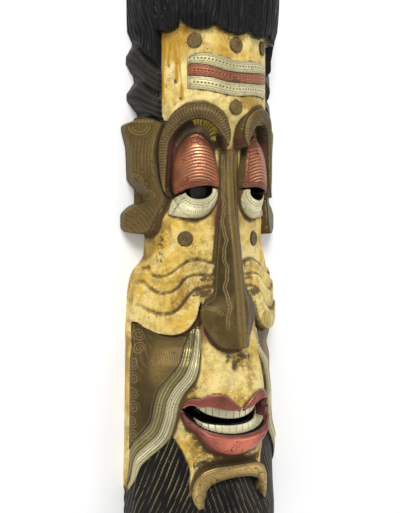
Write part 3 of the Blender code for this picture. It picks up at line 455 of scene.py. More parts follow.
PUPIL_TURNS = np.linspace(0, math.pi, 15)
PUPIL = np.stack([55.5 - 21 * np.cos(PUPIL_TURNS), 105.5 - 13 * np.sin(PUPIL_TURNS)], axis=1)
PUPIL = np.concatenate([PUPIL, [(72.5, 112), (34.5, 112)]])
cover_both("brow", stroke_outline(BROW, SEAM))
cover_both("upper_eyelid", drawn_in(UPPER_LID, SEAM))
cover_both("lower_eyelid", drawn_in(LOWER_LID, SEAM))
cover("nose", drawn_in(NOSE_OUTLINE, SEAM))
cover_both("ear", drawn_in(EAR, SEAM))
BAND_EDGES = [[(-72, 294), (-66, 299), (-57, 301), (-44, 301), (-30, 298.8), (-16, 295.8), (-4, 293),
               (10, 293), (27, 294.6), (48, 296.5), (68, 294), (72, 291)],
              [(-72, 284), (-66, 285.7), (-48, 284.4), (-30, 280.6), (-16, 276.8), (-1, 275.6), (16, 276.2),
               (45, 279), (72, 282)],
              [(-72, 269), (-39, 266.5), (-21, 262.6), (-6, 260.8), (33, 262.2), (72, 266)],
              [(-72, 251), (-39, 246.7), (-21, 243.2), (0, 241.2), (33, 244.9), (72, 244.4)]]
edges = [smooth_line(edge, 5) for edge in BAND_EDGES]
for name, high, low in zip(("upper", "middle", "lower"), edges, edges[1:]):
    cover("forehead_band_" + name, np.concatenate([high - (0, SEAM), low[::-1] + (0, SEAM)]))
ROUNDEL_RADIUS = 10.5
ROUNDELS = (("forehead_roundel_left", -62, 319, 108), ("forehead_roundel_middle", 0, 315, 111),
            ("forehead_roundel_right", 62, 319, 108), ("brow_roundel", 0, 225, 110),
            ("cheek_roundel_left", -79, 36, 88), ("cheek_roundel_right", 79, 36, 88))
for name, s, y, surface in ROUNDELS:
    cover(name, ring(s, y, ROUNDEL_RADIUS, surface))
edge = smooth_line(OUTER_EDGE, 5)
upper_part = edge[edge[:, 1] > -264]
panel_rim = [(STRIP_INNER - SEAM, -272), (STRIP_INNER - SEAM, -87), (145, -87.5), (130, -96.5), (113, -104),
             (97, -106), (82, -103.5)]
cover_both("cheek_panel", np.concatenate([beside(upper_part, SEAM)[5:], panel_rim]))
cover_both("moustache_inner", stroke_outline(INNER_STRAND, SEAM))
outer_side = stroke_outline(INNER_STRAND, -SEAM)[:len(INNER_STRAND)]
cover_both("moustache_outer", np.concatenate([beside(edge, -SEAM), outer_side[:-5][::-1]]))
cover("upper_lip", drawn_in(np.concatenate([UPPER_LIP, MOUTH_TOP[::-1]]), 0.2))
cover("lower_lip", drawn_in(np.concatenate([LOWER_LIP, MOUTH_FLOOR]), 0.2))
top_run = MOUTH_TOP[np.abs(MOUTH_TOP[:, 0] + 2) < 55] - (0, 1.9)
cover("upper_teeth", np.concatenate([UPPER_TEETH_EDGE, top_run[::-1]]))
floor_run = MOUTH_FLOOR[np.abs(MOUTH_FLOOR[:, 0] + 3) < 58] + (0, 0.9)
cover("lower_teeth", np.concatenate([LOWER_TEETH_EDGE, floor_run]))
cover("chin_crescent", stroke_outline(CRESCENT, SEAM))

# The hair and beard are cut in strands, and their black paint stops along these lines.
CHIN_EDGE = [(-500, 0), (-336, 0), (-331, 66), (-325, 69), (-300, 68), (-275, 76), (-254, 88),
             (-246, 94), (-240, 170)]
HAIR_STRAND = 6.4
BEARD_STRAND = 7.6
TUFT_STRAND = 9.2


def hairy(s, y):
    """1 where the wood is cut and painted as hair."""
    a = np.abs(s)
    temple = rise(a - TEMPLE, -3, -1.5) * rise(y - through(a, ROLLS[2]), -1.2, 0)
    return np.maximum(rise(y - hairline(s), -1.4, -0.2), temple)


def bearded(s, y):
    """1 where the wood is cut and painted as beard: both sides of the chin, and the tuft under it."""
    a = np.abs(s)
    sides = rise(a - through(y, CHIN_EDGE), -0.8, 0.8) * (1 - rise(y, -243, -240))
    sides *= 1 - rise(a, STRIP_INNER - 3, STRIP_INNER - 2) * rise(y, -332, -329)
    tuft = rise(44 - a, -1, 1) * (1 - rise(y + 307 + 0.004 * a * a, -1, 1))
    return np.clip(sides + tuft, 0, 1)


def strands(s, y):
    """Heights of the hair's and beard's cut lines, the beard's gilding, and the hair's wear with a painted
    highlight on its rolls.
    """
    a = np.abs(s)
    hair_here = hairy(s, y)
    lines = [through(a, line) for line in ROLLS]
    fringe = rise(y - lines[0], 0, 10) * hair_here
    sway = s + 2.5 * np.sin(y / 31 + s / 19) + 1.2 * np.sin(y / 13 + s / 7)
    swept = sway + 16 * rise(-y, -400, -330) * rise(a, 60, 120) * np.sign(s)
    cut = engraved(spaced(swept, HAIR_STRAND), 1.5) * fringe
    roll = np.zeros(s.shape)
    for upper, lower in zip(lines, lines[1:]):
        t = (y - lower) / np.maximum(upper - lower, 1)
        inside = (t > 0.06) & (t < 0.95)
        roll = np.maximum(roll, (0.5 + 0.5 * np.cos((t - 0.1) * 2 * math.pi / 0.21)) ** 1.5 * inside)
    cut = np.maximum(cut, roll * hair_here * (1 - fringe))
    # The rolls over the temples are greyed between their cut lines: wear, and a painted highlight.
    wear = 0.3 * (1 - roll) * (1 - fringe) * hair_here
    beard_here = bearded(s, y)
    down = -y - 300
    flow = a - 0.30 * down - 0.0011 * down * np.abs(down)
    side_line = engraved(spaced(flow + 0.9 * np.sin(y / 23 + a / 9), BEARD_STRAND), 1.0)
    tuft_flow = s - 0.34 * down
    tuft_line = engraved(spaced(tuft_flow, TUFT_STRAND), 1.0)
    in_tuft = rise(52 - np.hypot(a, (y + 352) * 0.95), -1, 1)
    beard_line = (side_line * (1 - in_tuft) + tuft_line * in_tuft) * beard_here
    ridge = np.abs(np.sin(math.pi * flow / BEARD_STRAND)) * (1 - in_tuft)
    ridge += np.abs(np.sin(math.pi * tuft_flow / TUFT_STRAND)) * in_tuft
    shape = -1.2 * cut * np.where(fringe > 0.5, 1.15, 0.8) + (ridge ** 0.7 - 1) * 1.5 * beard_here
    return shape, beard_line, wear


def depth_under(s, y):
    """How far inside the nearest sheet of metal a place lies, less than 0 outside them all."""
    depth = np.full(s.shape, -1e3)
    for outline in COVERS.values():
        low = outline.min(axis=0) - 12
        high = outline.max(axis=0) + 12
        near = (s > low[0]) & (s < high[0]) & (y > low[1]) & (y < high[1])
        depth[near] = np.maximum(depth[near], depth_inside(s[near], y[near], outline))
    return depth


def evenly(low, high, count, weight):
    """Places between two ends, closer together where the carving bends more."""
    at = np.linspace(low, high, len(weight))
    total = np.concatenate([[0], np.cumsum((weight[1:] + weight[:-1]) / 2)])
    return np.interp(np.linspace(0, total[-1], count), total, at)


def paper_grid(name, columns, rows):
    """A grid on the paper with one vertex for each pair of column and row, in millimetres."""
    bpy.ops.object.select_all(action="DESELECT")
    bpy.ops.mesh.primitive_grid_add(x_subdivisions=len(columns) - 1, y_subdivisions=len(rows) - 1, size=2)
    thing = bpy.context.active_object
    thing.name = name
    thing.data.name = name
    at = vertices_of(thing)
    i = np.rint((at[:, 0] + 1) / 2 * (len(columns) - 1)).astype(int)
    j = np.rint((at[:, 1] + 1) / 2 * (len(rows) - 1)).astype(int)
    set_vertices(thing, np.stack([columns[i], rows[j], np.zeros(len(at))], axis=1))
    return thing


def vertices_of(thing):
    at = np.empty(len(thing.data.vertices) * 3)
    thing.data.vertices.foreach_get("co", at)
    return at.reshape(-1, 3)


def set_vertices(thing, at):
    thing.data.vertices.foreach_set("co", np.ascontiguousarray(at, float).ravel())
    thing.data.update()


def mark(thing, name, values):
    """Keeps one number for each vertex, which the piece's material reads."""
    thing.data.attributes.new(name, "FLOAT", "POINT").data.foreach_set("value", np.asarray(values, float))


def pick_faces(thing, chosen):
    """Selects some of the faces in edit mode, and nothing else."""
    bpy.ops.object.mode_set(mode="EDIT")
    bpy.ops.mesh.select_mode(type="FACE")
    bpy.ops.mesh.select_all(action="DESELECT")
    bpy.ops.object.mode_set(mode="OBJECT")
    thing.data.polygons.foreach_set("select", np.asarray(chosen, bool))
    bpy.ops.object.mode_set(mode="EDIT")


def apply_all(thing):
    bpy.context.view_layer.objects.active = thing
    for modifier in list(thing.modifiers):
        bpy.ops.object.modifier_apply(modifier=modifier.name)


def smooth_shaded(thing, degrees):
    """Smooth faces, with a crease where they meet at more than an angle."""
    bpy.ops.object.select_all(action="DESELECT")
    thing.select_set(True)
    bpy.context.view_layer.objects.active = thing
    bpy.ops.object.shade_smooth_by_angle(angle=math.radians(degrees))


# The wood lies lower under the metal, and lower still under the lips' turned edges, so as not to show.
METAL_BED = 0.9
LIP_BED = 3.2
coarse_s, coarse_y = np.meshgrid(np.linspace(-EDGE, EDGE, 201), np.linspace(BOTTOM, TOP, 501))
coarse = relief(coarse_s.ravel(), coarse_y.ravel()).reshape(coarse_s.shape)
bend_y = np.mean(np.sqrt(np.abs(np.gradient(np.gradient(coarse, axis=0), axis=0))), axis=1)
bend_s = np.mean(np.sqrt(np.abs(np.gradient(np.gradient(coarse, axis=1), axis=1))), axis=0)
inner = np.exp(-np.clip(np.abs(np.linspace(BOTTOM, TOP, 501)) - 400, 0, 100) / 20)
columns = evenly(-EDGE, EDGE, 235, 0.35 + bend_s)
rows = evenly(BOTTOM, TOP, 373, (0.2 + bend_y) * (0.15 + 0.85 * inner))
wood = paper_grid("carving", columns, rows)
flat = vertices_of(wood)
s, y = flat[:, 0], flat[:, 1]
strand_shape, gilding, wear = strands(s, y)
under = depth_under(s, y)
bare = 1 - np.clip(rise(under, -1.5, 0), 0, 1)
surface = relief(s, y) + strand_shape * bare - METAL_BED * rise(under, 0.8, 2.2)
bow = (1 - rise(np.abs(s - 2), 14, 20)) * (y > -214)
surface -= LIP_BED * rise(depth_inside(s, y, MOUTH), -3.2, -1.6) * (1 - bow)
at = point_at(s, y, surface)
at[np.abs(np.abs(s) - EDGE) < 1e-6, 2] = 0
set_vertices(wood, at)

# What the paint has picked up, and the light and shade painted on it: dirt and painted shade in the cuts,
# wear and painted highlights on the ridges, lacquer that has run, and painted shadow under the lower lip.
a = np.abs(s)
grid_order = np.lexsort((s, y))
height = surface[grid_order].reshape(len(rows), len(columns))


def off_grid(values):
    """Values in rows and columns, put back in the order of the carving's vertices."""
    result = np.empty(values.size)
    result[grid_order] = values.ravel()
    return result


def blurred(values, reach):
    """Averages over a few grid places both ways."""
    for axis in (0, 1):
        padded = np.concatenate([np.repeat(values.take([0], axis), reach, axis), values,
                                 np.repeat(values.take([-1], axis), reach, axis)], axis)
        run = np.cumsum(np.concatenate([np.zeros_like(padded.take([0], axis)), padded], axis), axis)
        size = 2 * reach + 1
        count = values.shape[axis]
        values = (run.take(range(size, size + count), axis) - run.take(range(count), axis)) / size
    return values


# Painted shade, with dirt: the wood darkens in narrow cuts, in broad hollows, in the creases of the cheek
# folds and beside every sheet of metal.
near_blur = blurred(blurred(height, 1), 1)
far_blur = blurred(blurred(height, 4), 4)
cuts = 0.75 * np.clip((near_blur - height) / 0.45, 0, 1)
hollows = 0.35 * np.clip((far_blur - height - 0.5) / 3.5, 0, 1)
dirt = off_grid(blurred(cuts + hollows, 1)) * 1.15
philtrum = np.exp(-(s / 8) ** 2) * rise(-y, 150, 165) * (1 - rise(-y, 198, 204))
dirt *= 1 - 0.95 * philtrum
for line in FOLDS:
    above = y - through(a, line)
    in_fold = 0.62 * np.exp(-(above / 2.0) ** 2) * rise(a, 34, 37) * (1 - rise(a, 125, 145))
    dirt = np.maximum(dirt, in_fold)
beside_metal = rise(under, -2.2, -0.3) * (1 - rise(under, -0.3, 1.5))
beside_hair = np.maximum(rise(y - hairline(s), -12, -8), rise(a - TEMPLE, -18, -12)) * (y > 212)
mark(wood, "dirt", np.clip(dirt * (1 - 0.85 * beside_hair) + 0.5 * beside_metal, 0, 1))
# Raised ridges, which the paint lightens with a painted highlight and rubbed paint.
mark(wood, "raised", off_grid(blurred(np.clip((near_blur - height) / -0.4, 0, 1), 1)))
mark(wood, "black", np.maximum(hairy(s, y), bearded(s, y)))
mark(wood, "gilding", gilding)
mark(wood, "wear", wear)


def spots(places):
    """Soft patches: how strong, where, how wide and how tall, and which side of the face if only one."""
    total = np.zeros(len(s))
    for strength, s0, y0, wide, tall, *side in places:
        patch = strength * np.exp(-((a - s0) / wide) ** 2 - ((y - y0) / tall) ** 2)
        total += patch * (s * side[0] > 0) if side else patch
    return total


# Stains and specks, and painted shadow under the lower lip.
stains_and_shadows = spots([(0.6, 40, -4, 10, 3), (0.9, 42, -22, 12, 4), (1.1, 49, -42, 15, 6.5), (0.9, 96, 102, 12, 6),
                (0.7, 14, -137, 17, 13, 1), (0.6, 14, -132, 12, 12, -1), (0.5, 63, -185, 5, 20),
                (0.8, 83, 236, 2.4, 3.5, -1), (0.8, 91, 262, 2.6, 4, -1), (0.6, 102, 288, 2, 9, -1),
                (0.45, 120, 30, 14, 45), (0.35, 75, 90, 20, 12)])
# Painted shadow under the lower lip: along its edge, and in a band across the chin just below it.
stains_and_shadows += 0.8 * np.exp(-(depth_inside(s, y, LOWER_LIP) / 10) ** 2) * rise(-y, 226, 238)
stains_and_shadows += 0.9 * np.exp(-((y + 288) / 7) ** 2) * (a < 64)
stains_and_shadows += 1.6 * rise(a, 100, 106) * rise(y, 112, 120) * (y < 207) * (a < 123)
mark(wood, "stain_and_shadow", np.clip(stains_and_shadows, 0, 1))
red = spots([(1, 23, 62, 6, 26), (1, 12, 176, 7, 7), (0.7, 62, -135, 4, 40), (0.8, 50, -95, 6, 20),
             (0.6, 88, -222, 4, 30), (0.5, 100, -105, 25, 5)])
red += 0.9 * rise(a, 93, 98) * (1 - rise(a, 104, 108)) * rise(y, 110, 130) * (1 - rise(y, 195, 206))
mark(wood, "red", np.clip(red, 0, 1))
# The wood round the lids, inside the brow's arch, is made much darker.
socket = rise(depth_inside(a, y, BROW[:, :2]), -2, 4) * (under < 1) * rise(y, 70, 110)
mark(wood, "socket", socket)
arch = smooth_line(BROW[::4, :2], 3)
arch_run = np.concatenate([[0], np.cumsum(np.hypot(*np.diff(arch, axis=0).T))])
arch_apart, arch_at = nearest(a, y, np.concatenate([arch, arch_run[:, None]], axis=1))
lip_of_arch = (1 - rise(arch_apart, 16, 19)) * rise(arch_apart, 9, 10) * rise(socket, 0.05, 0.4)
scallops = engraved(np.abs(spaced(arch_at[2], 8.0)) - 4.0 + 0.25 * (arch_apart - 12), 1.5)
mark(wood, "chisel", lip_of_arch * (arch_at[2] > 8) * (arch_at[2] < 84) * (1 - scallops))
drips = np.zeros(s.shape)
DRIPS = [(-112, 326, 238, 6), (-101, 322, 284, 4), (-91, 322, 260, 5.5), (-83, 318, 235, 3.6)]
for s0, top, end, half in DRIPS:
    wide = half * (0.7 - 0.35 * rise(y, end + 8, end + 40)) + 0.7 * np.sin(y / 7 + s0)
    run = 1 - rise(np.abs(s - s0 - 2 * np.sin(y / 16 + s0)), wide * 0.6, wide * 1.3)
    drips = np.maximum(drips, run * rise(y, end - 3, end + 3) * (1 - rise(y, top - 12, top)))
wash = 0.7 * rise(-s, 62, 74) * rise(y, 282, 300) * (y < 340)
wash += 0.5 * np.exp(-((s + 30) / 34) ** 2 - ((y - 307) / 7) ** 2)
mark(wood, "lacquer", np.clip(drips * (y > 200) + wash, 0, 1))

# The log's flat back with its long hollow, and the ends.
HOLLOW_LENGTH = 860.0
HOLLOW_WIDTH = 144.0
HOLLOW_DEPTH = 62.0
BACK_COLUMNS = 25
rim_x = surface[grid_order].reshape(height.shape)[:, -1]
rows_y = y[grid_order].reshape(height.shape)[:, 0]
back = paper_grid("back", np.linspace(1, -1, BACK_COLUMNS), rows)
flat_back = vertices_of(back)
half_width = np.interp(flat_back[:, 1], rows_y, rim_x)
across = np.sin(flat_back[:, 0] * math.pi / 2) * half_width
turn = np.arcsin(np.clip(flat_back[:, 1] * 2 / HOLLOW_LENGTH, -1, 1))
size = np.clip(np.cos(turn), 0, 1) ** 0.4
reach = np.maximum(HOLLOW_WIDTH / 2 * size, 0.1)
depth = HOLLOW_DEPTH * size * np.sqrt(np.clip(1 - (across / reach) ** 2, 0, 1))
set_vertices(back, np.stack([across, flat_back[:, 1], depth], axis=1) * MM)
mark(back, "raw", np.ones(len(flat_back)))
bpy.ops.object.select_all(action="DESELECT")
back.select_set(True)
wood.select_set(True)
bpy.context.view_layer.objects.active = wood
bpy.ops.object.join()
bpy.ops.object.mode_set(mode="EDIT")
bpy.ops.mesh.select_mode(type="VERT")
bpy.ops.mesh.select_all(action="SELECT")
bpy.ops.mesh.remove_doubles(threshold=1e-5)
bpy.ops.mesh.select_all(action="DESELECT")
bpy.ops.mesh.select_non_manifold(extend=False, use_wire=True, use_boundary=True, use_multi_face=False,
                                 use_non_contiguous=False, use_verts=False)
bpy.ops.mesh.fill_holes(sides=0)
bpy.ops.mesh.select_all(action="SELECT")
bpy.ops.mesh.normals_make_consistent(inside=False)
bpy.ops.object.mode_set(mode="OBJECT")


def pierced(thing, outline):
    """Cuts a hole with the shape of an outline on the paper right through to the hollow."""
    outline = thinned(np.concatenate([outline, outline[:1]]), 0.15)[:-1]
    if area_inside(outline) < 0:
        outline = outline[::-1]
    bpy.ops.object.select_all(action="DESELECT")
    bpy.ops.mesh.primitive_cylinder_add(vertices=len(outline), end_fill_type="NGON")
    cutter = bpy.context.active_object
    at = vertices_of(cutter)
    k = np.rint(np.arctan2(at[:, 1], at[:, 0]) * len(outline) / (2 * math.pi)).astype(int) % len(outline)
    set_vertices(cutter, point_at(outline[k, 0], outline[k, 1], np.where(at[:, 2] > 0, 175.0, 30.0)))
    bpy.ops.object.mode_set(mode="EDIT")
    bpy.ops.mesh.select_all(action="SELECT")
    bpy.ops.mesh.quads_convert_to_tris()
    bpy.ops.mesh.normals_make_consistent(inside=False)
    bpy.ops.object.mode_set(mode="OBJECT")
    cut = thing.modifiers.new("pierced", "BOOLEAN")
    cut.operation = "DIFFERENCE"
    cut.solver = "EXACT"
    cut.object = cutter
    apply_all(thing)
    bpy.data.objects.remove(cutter, do_unlink=True)


# The pupils and the parted mouth go right through. Their walls, and the hollow seen through them, are painted
# black as painted shade, but red-brown in the mouth's right corner.
for side in (-1, 1):
    pierced(wood, drawn_in(PUPIL * (side, 1), 0.4))
pierced(wood, np.concatenate([UPPER_TEETH_EDGE - (0, 1.2), [(59, -209)], LOWER_TEETH_EDGE[::-1] + (0, 1.2),
                              [(-76, -212)]]))
at = vertices_of(wood) / MM
hole_s, hole_y = np.arctan2(at[:, 0], at[:, 2]) * WRAP, at[:, 1]
deep = np.hypot(at[:, 0], at[:, 2]) > 25
bow = (np.abs(hole_s - 2) < 16) & (hole_y < 0) & (hole_y > -212)
holes = np.zeros(len(at), bool)
for outline in (PUPIL, PUPIL * (-1, 1), MOUTH):
    holes |= depth_inside(hole_s, hole_y, outline) > np.where(bow, -0.3, -2.5)
corner = (hole_s > 50) & (hole_y < 0)
IN_HOLES = {"black": 1.0, "raw": 0.0, "gilding": 0.0, "wear": 0.0, "raised": 0.0, "red": 0.0}
IN_CORNER = {**IN_HOLES, "black": 0.0, "red": 1.0}
for name in IN_HOLES:
    stored = wood.data.attributes[name].data
    values = np.empty(len(at))
    stored.foreach_get("value", values)
    painted = np.where(corner, IN_CORNER[name], IN_HOLES[name])
    stored.foreach_set("value", np.where(holes & deep, painted, values))
smooth_shaded(wood, 50)


class Wire:
    """One output of a node. Sums written with it add the Math nodes."""

    def __init__(self, finish, socket):
        self.finish = finish
        self.socket = socket

    def maths(self, operation, *values):
        return self.finish.node("ShaderNodeMath", {"operation": operation}, dict(enumerate(values)))

    def __add__(self, other):
        return self.maths("ADD", self, other)

    __radd__ = __add__

    def __sub__(self, other):
        return self.maths("SUBTRACT", self, other)

    def __rsub__(self, other):
        return self.maths("SUBTRACT", other, self)

    def __mul__(self, other):
        return self.maths("MULTIPLY", self, other)

    __rmul__ = __mul__

    def least(self, other):
        return self.maths("MINIMUM", self, other)

    def most(self, other):
        return self.maths("MAXIMUM", self, other)

    def between(self, low, high):
        """0 below low, 1 above high, even in between."""
        return self.finish.node("ShaderNodeMapRange", {"interpolation_type": "SMOOTHSTEP"},
                                {0: self, 1: low, 2: high, 3: 0.0, 4: 1.0})


class Finish:
    """A material, and the writing of its nodes."""

    def __init__(self, name):
        self.material = bpy.data.materials.new(name)
        self.material.use_nodes = True
        self.tree = self.material.node_tree
        self.shader = self.tree.nodes["Principled BSDF"]

    def node(self, kind, settings, sockets, output=0):
        made = self.tree.nodes.new(kind)
        for name, value in settings.items():
            setattr(made, name, value)
        for key, value in sockets.items():
            self.put(made.inputs[key], value)
        return Wire(self, made.outputs[output])

    def put(self, target, value):
        if isinstance(value, Wire):
            self.tree.links.new(value.socket, target)
        elif isinstance(value, tuple) and len(value) == 3 and len(target.default_value) == 4:
            target.default_value = (*value, 1)
        else:
            target.default_value = value

    def read(self, name):
        settings = {"attribute_type": "GEOMETRY", "attribute_name": name}
        return self.node("ShaderNodeAttribute", settings, {}, "Fac")

    def noise(self, scale, detail, rough, stretch=(1, 1, 1), warp=0.0):
        where = self.node("ShaderNodeTexCoord", {}, {}, "Object")
        where = self.node("ShaderNodeMapping", {}, {"Vector": where, "Scale": stretch})
        sockets = {"Vector": where, "Scale": scale, "Detail": detail, "Roughness": rough, "Distortion": warp}
        return self.node("ShaderNodeTexNoise", {}, sockets, "Fac")

    def mix(self, share, one, two):
        return self.node("ShaderNodeMix", {"data_type": "RGBA"}, {0: share, 6: one, 7: two}, 2)

    def bump(self, height, distance, strength):
        sockets = {"Height": height, "Distance": distance, "Strength": strength}
        return self.node("ShaderNodeBump", {}, sockets, "Normal")

    def paint(self, **sockets):
        for name, value in sockets.items():
            self.put(self.shader.inputs[name.replace("_", " ")], value)


# Old oil paint on bare wood: yellow over a cream ground on the face, satin black on the hair and beard,
# red-brown round the eyes. Brown varnish has run down the forehead, dirt and painted shade sit in every cut,
# the ridges and the hair's rolls carry painted highlights, and a painted shadow lies under the lower lip.
YELLOW = (0.62, 0.375, 0.038)
CREAM = (0.70, 0.55, 0.20)
OCHRE = (0.44, 0.21, 0.018)
SHADE_AND_DIRT = (0.075, 0.042, 0.014)
VARNISH = (0.40, 0.205, 0.008)
BLACK = (0.0035, 0.0035, 0.0035)
GREY_WEAR_AND_HIGHLIGHT = (0.10, 0.09, 0.065)
GILDING = (0.22, 0.16, 0.06)
RED_BROWN = (0.11, 0.035, 0.028)
BARE_WOOD = (0.30, 0.17, 0.08)
DARK_GRAIN = (0.14, 0.075, 0.035)
CHIPPED_WOOD = (0.30, 0.15, 0.07)
BLEACHED = (0.76, 0.64, 0.29)
RUBBED_AND_LIT = (0.90, 0.76, 0.36)
OLIVE = (0.27, 0.185, 0.038)
SCUFFED = (0.30, 0.205, 0.055)
AMBER = (0.20, 0.105, 0.022)
CRUST_AND_SHADOW = (0.062, 0.038, 0.017)
DARKEST_BROWN = (0.035, 0.022, 0.012)
CHISELLED = (0.46, 0.32, 0.04)

paint = Finish("painted_wood")
dirt = paint.read("dirt")
black_paint = paint.read("black")
wide_noise = paint.noise(9.0, 4.0, 0.6, (1, 0.7, 1))
blotch = paint.noise(32.0, 5.0, 0.65, (1, 0.6, 1), 0.6)
fine_noise = paint.noise(210.0, 3.0, 0.6)
streak = paint.noise(60.0, 4.0, 0.6, (1, 0.12, 1))
speck = paint.noise(330.0, 1.0, 0.4)
yellow = paint.mix(wide_noise.between(0.36, 0.62), YELLOW, CREAM)
yellow = paint.mix((blotch + streak * 0.7).between(0.84, 1.02) * 0.75, yellow, OCHRE)
# Painted highlight, with rubbed paint, on the ridges of the carving.
yellow = paint.mix(paint.read("raised") * 0.55 * fine_noise.between(0.3, 0.6), yellow, RUBBED_AND_LIT)
# Painted shade and dirt in the cuts, hollows and creases.
shade_and_grime = (dirt * 1.25 + (blotch - 0.5) * 0.9 * dirt.between(0.02, 0.4)).between(0.12, 0.95)
yellow = paint.mix((fine_noise * 0.6 + blotch * 0.6).between(0.62, 0.74) * 0.6, yellow, AMBER)
mottle = paint.noise(21.0, 6.0, 0.7, (1, 0.8, 1), 0.8)
yellow = paint.mix((mottle + (blotch - 0.5) * 0.5).between(0.49, 0.64) * 0.62, yellow, OLIVE)
yellow = paint.mix((0.52 - mottle).between(0.0, 0.10) * 0.65, yellow, BLEACHED)
scuff = paint.noise(75.0, 6.0, 0.7)
yellow = paint.mix(scuff.between(0.46, 0.62) * 0.45, yellow, SCUFFED)
yellow = paint.mix(shade_and_grime * 0.95, yellow, SHADE_AND_DIRT)
lacquer = paint.read("lacquer")
yellow = paint.mix((lacquer * (0.75 + blotch * 0.5)).least(1.0) * 0.95, yellow, VARNISH)
# Stains and specks, and the painted shadow under the lower lip, with broken edges.
crumb = paint.noise(130.0, 4.0, 0.65)
stain_and_shadow = paint.read("stain_and_shadow")
broken = stain_and_shadow * 1.1 + (crumb - 0.5) * 3.4 * stain_and_shadow.between(0.01, 0.4)
yellow = paint.mix(broken.between(0.25, 0.85) * 0.88, yellow, CRUST_AND_SHADOW)
yellow = paint.mix((speck + (blotch - 0.5) * 0.25).between(0.715, 0.745) * 0.85, yellow, DARKEST_BROWN)
# The wood round the lids is made much darker.
yellow = paint.mix(paint.read("socket") * (0.5 + blotch * 0.9).least(1.0), yellow, DARKEST_BROWN)
yellow = paint.mix(paint.read("chisel") * (0.4 + blotch * 0.9).least(1.0), yellow, CHISELLED)
yellow = paint.mix((paint.read("red") * (0.55 + blotch)).least(1.0) * 0.92, yellow, RED_BROWN)
# On the black: painted highlights on the ridges and the temple rolls, with wear.
ridges = paint.read("raised") * 0.10 * streak.between(0.5, 0.75)
worn_and_lit = (paint.read("wear") * (0.35 + blotch * 1.2) + ridges).least(1.0)
dark = paint.mix(worn_and_lit * 0.9, BLACK, GREY_WEAR_AND_HIGHLIGHT)
gilt = paint.read("gilding").between(0.15, 0.85) * (streak + blotch).between(0.78, 1.2)
dark = paint.mix(gilt.least(1.0), dark, GILDING)
chip = (speck * 0.5 + blotch * 0.6).between(0.79, 0.83)
dark = paint.mix(chip * 0.7, dark, CHIPPED_WOOD)
colour = paint.mix(black_paint, yellow, dark)
raw = paint.read("raw")
grain = paint.noise(90.0, 5.0, 0.6, (1, 0.05, 1))
bare = paint.mix(grain.between(0.3, 0.7), BARE_WOOD, DARK_GRAIN)
paint.paint(Base_Color=paint.mix(raw, colour, bare))
gloss = 0.47 + blotch * 0.16 + shade_and_grime * 0.2 - black_paint * 0.16
paint.paint(Roughness=gloss.most(raw * 0.8), Specular_IOR_Level=0.18)
unevenness = fine_noise * 0.35 + blotch + streak * 0.6 + grain * raw * 2.0
paint.paint(Normal=paint.bump(unevenness, 0.0006, 0.6))

wood.name = "carving"
wood.data.materials.append(paint.material)
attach(wood, "root")
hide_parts("carved_wood")


# The brow plates
# Two thick arches of brass beaten over carved ridges and chased across with fine ribs, like rope.
# Every sheet is cut to its line on the paper, hammered down over the wood and nailed along its rim.
SHEET = 1.1
GAP = 0.3
EDGE_DROP = 0.25


def hammered(name, chase, thickness=SHEET, cell=0.85, hole=None, turned_in=0.0):
    """A sheet of metal over the carving. chase gives each place's height, its cut lines and its polish with
    painted highlights.
    """
    outline = COVERS[name]
    low = outline.min(axis=0)
    high = outline.max(axis=0)
    counts = np.maximum(np.ceil((high - low) / cell).astype(int), 4)
    thing = paper_grid(name, np.linspace(low[0], high[0], counts[0]), np.linspace(low[1], high[1], counts[1]))
    flat = vertices_of(thing)
    corners = np.empty(len(thing.data.loops), int)
    thing.data.loops.foreach_get("vertex_index", corners)
    middles = flat[corners.reshape(-1, 4)].mean(axis=1)
    outside = depth_inside(middles[:, 0], middles[:, 1], outline) < 0
    if hole is not None:
        outside |= depth_inside(middles[:, 0], middles[:, 1], hole) > 0
    pick_faces(thing, outside)
    bpy.ops.mesh.delete(type="FACE")
    bpy.ops.object.mode_set(mode="OBJECT")
    flat = vertices_of(thing)
    joined = np.empty(len(thing.data.loops), int)
    thing.data.loops.foreach_get("edge_index", joined)
    ends = np.empty(len(thing.data.edges) * 2, int)
    thing.data.edges.foreach_get("vertices", ends)
    rim = np.unique(ends.reshape(-1, 2)[np.bincount(joined, minlength=len(thing.data.edges)) == 1])
    apart, to = nearest(flat[rim, 0], flat[rim, 1], outline, closed=True)
    if hole is not None:
        hole_apart, hole_to = nearest(flat[rim, 0], flat[rim, 1], hole, closed=True)
        to = np.where(hole_apart < apart, hole_to, to)
    flat[rim, :2] = to.T
    s, y = flat[:, 0], flat[:, 1]
    inside = depth_inside(s, y, outline)
    if hole is not None:
        inside = np.minimum(inside, -depth_inside(s, y, hole))
    inside[rim] = 0
    height, cut, polish_and_highlight = chase(s, y, inside)
    over = relief(s, y) + GAP + thickness - EDGE_DROP * (1 - rise(inside, 0, 1.6))
    set_vertices(thing, point_at(s, y, over + height * rise(inside, 0, 1.0)))
    mark(thing, "cut", np.clip(cut, 0, 1))
    mark(thing, "polish_and_highlight", np.clip(polish_and_highlight, 0, 1))
    mark(thing, "rim", 1 - rise(inside, 0.2, 1.8))
    thing.modifiers.new("thickness", "SOLIDIFY").thickness = (thickness + turned_in) * MM
    thing.modifiers["thickness"].offset = -1
    apply_all(thing)
    smooth_shaded(thing, 45)
    return thing


def nailed_on(name, chase, finish, slot, **cut_to):
    """Hammers a sheet to its place, gives it its finish and puts it where the plain solid is."""
    thing = hammered(name, chase, **cut_to)
    thing.name = name + "_sheet"
    thing.data.materials.append(finish.material)
    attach(thing, "root")
    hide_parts(name)


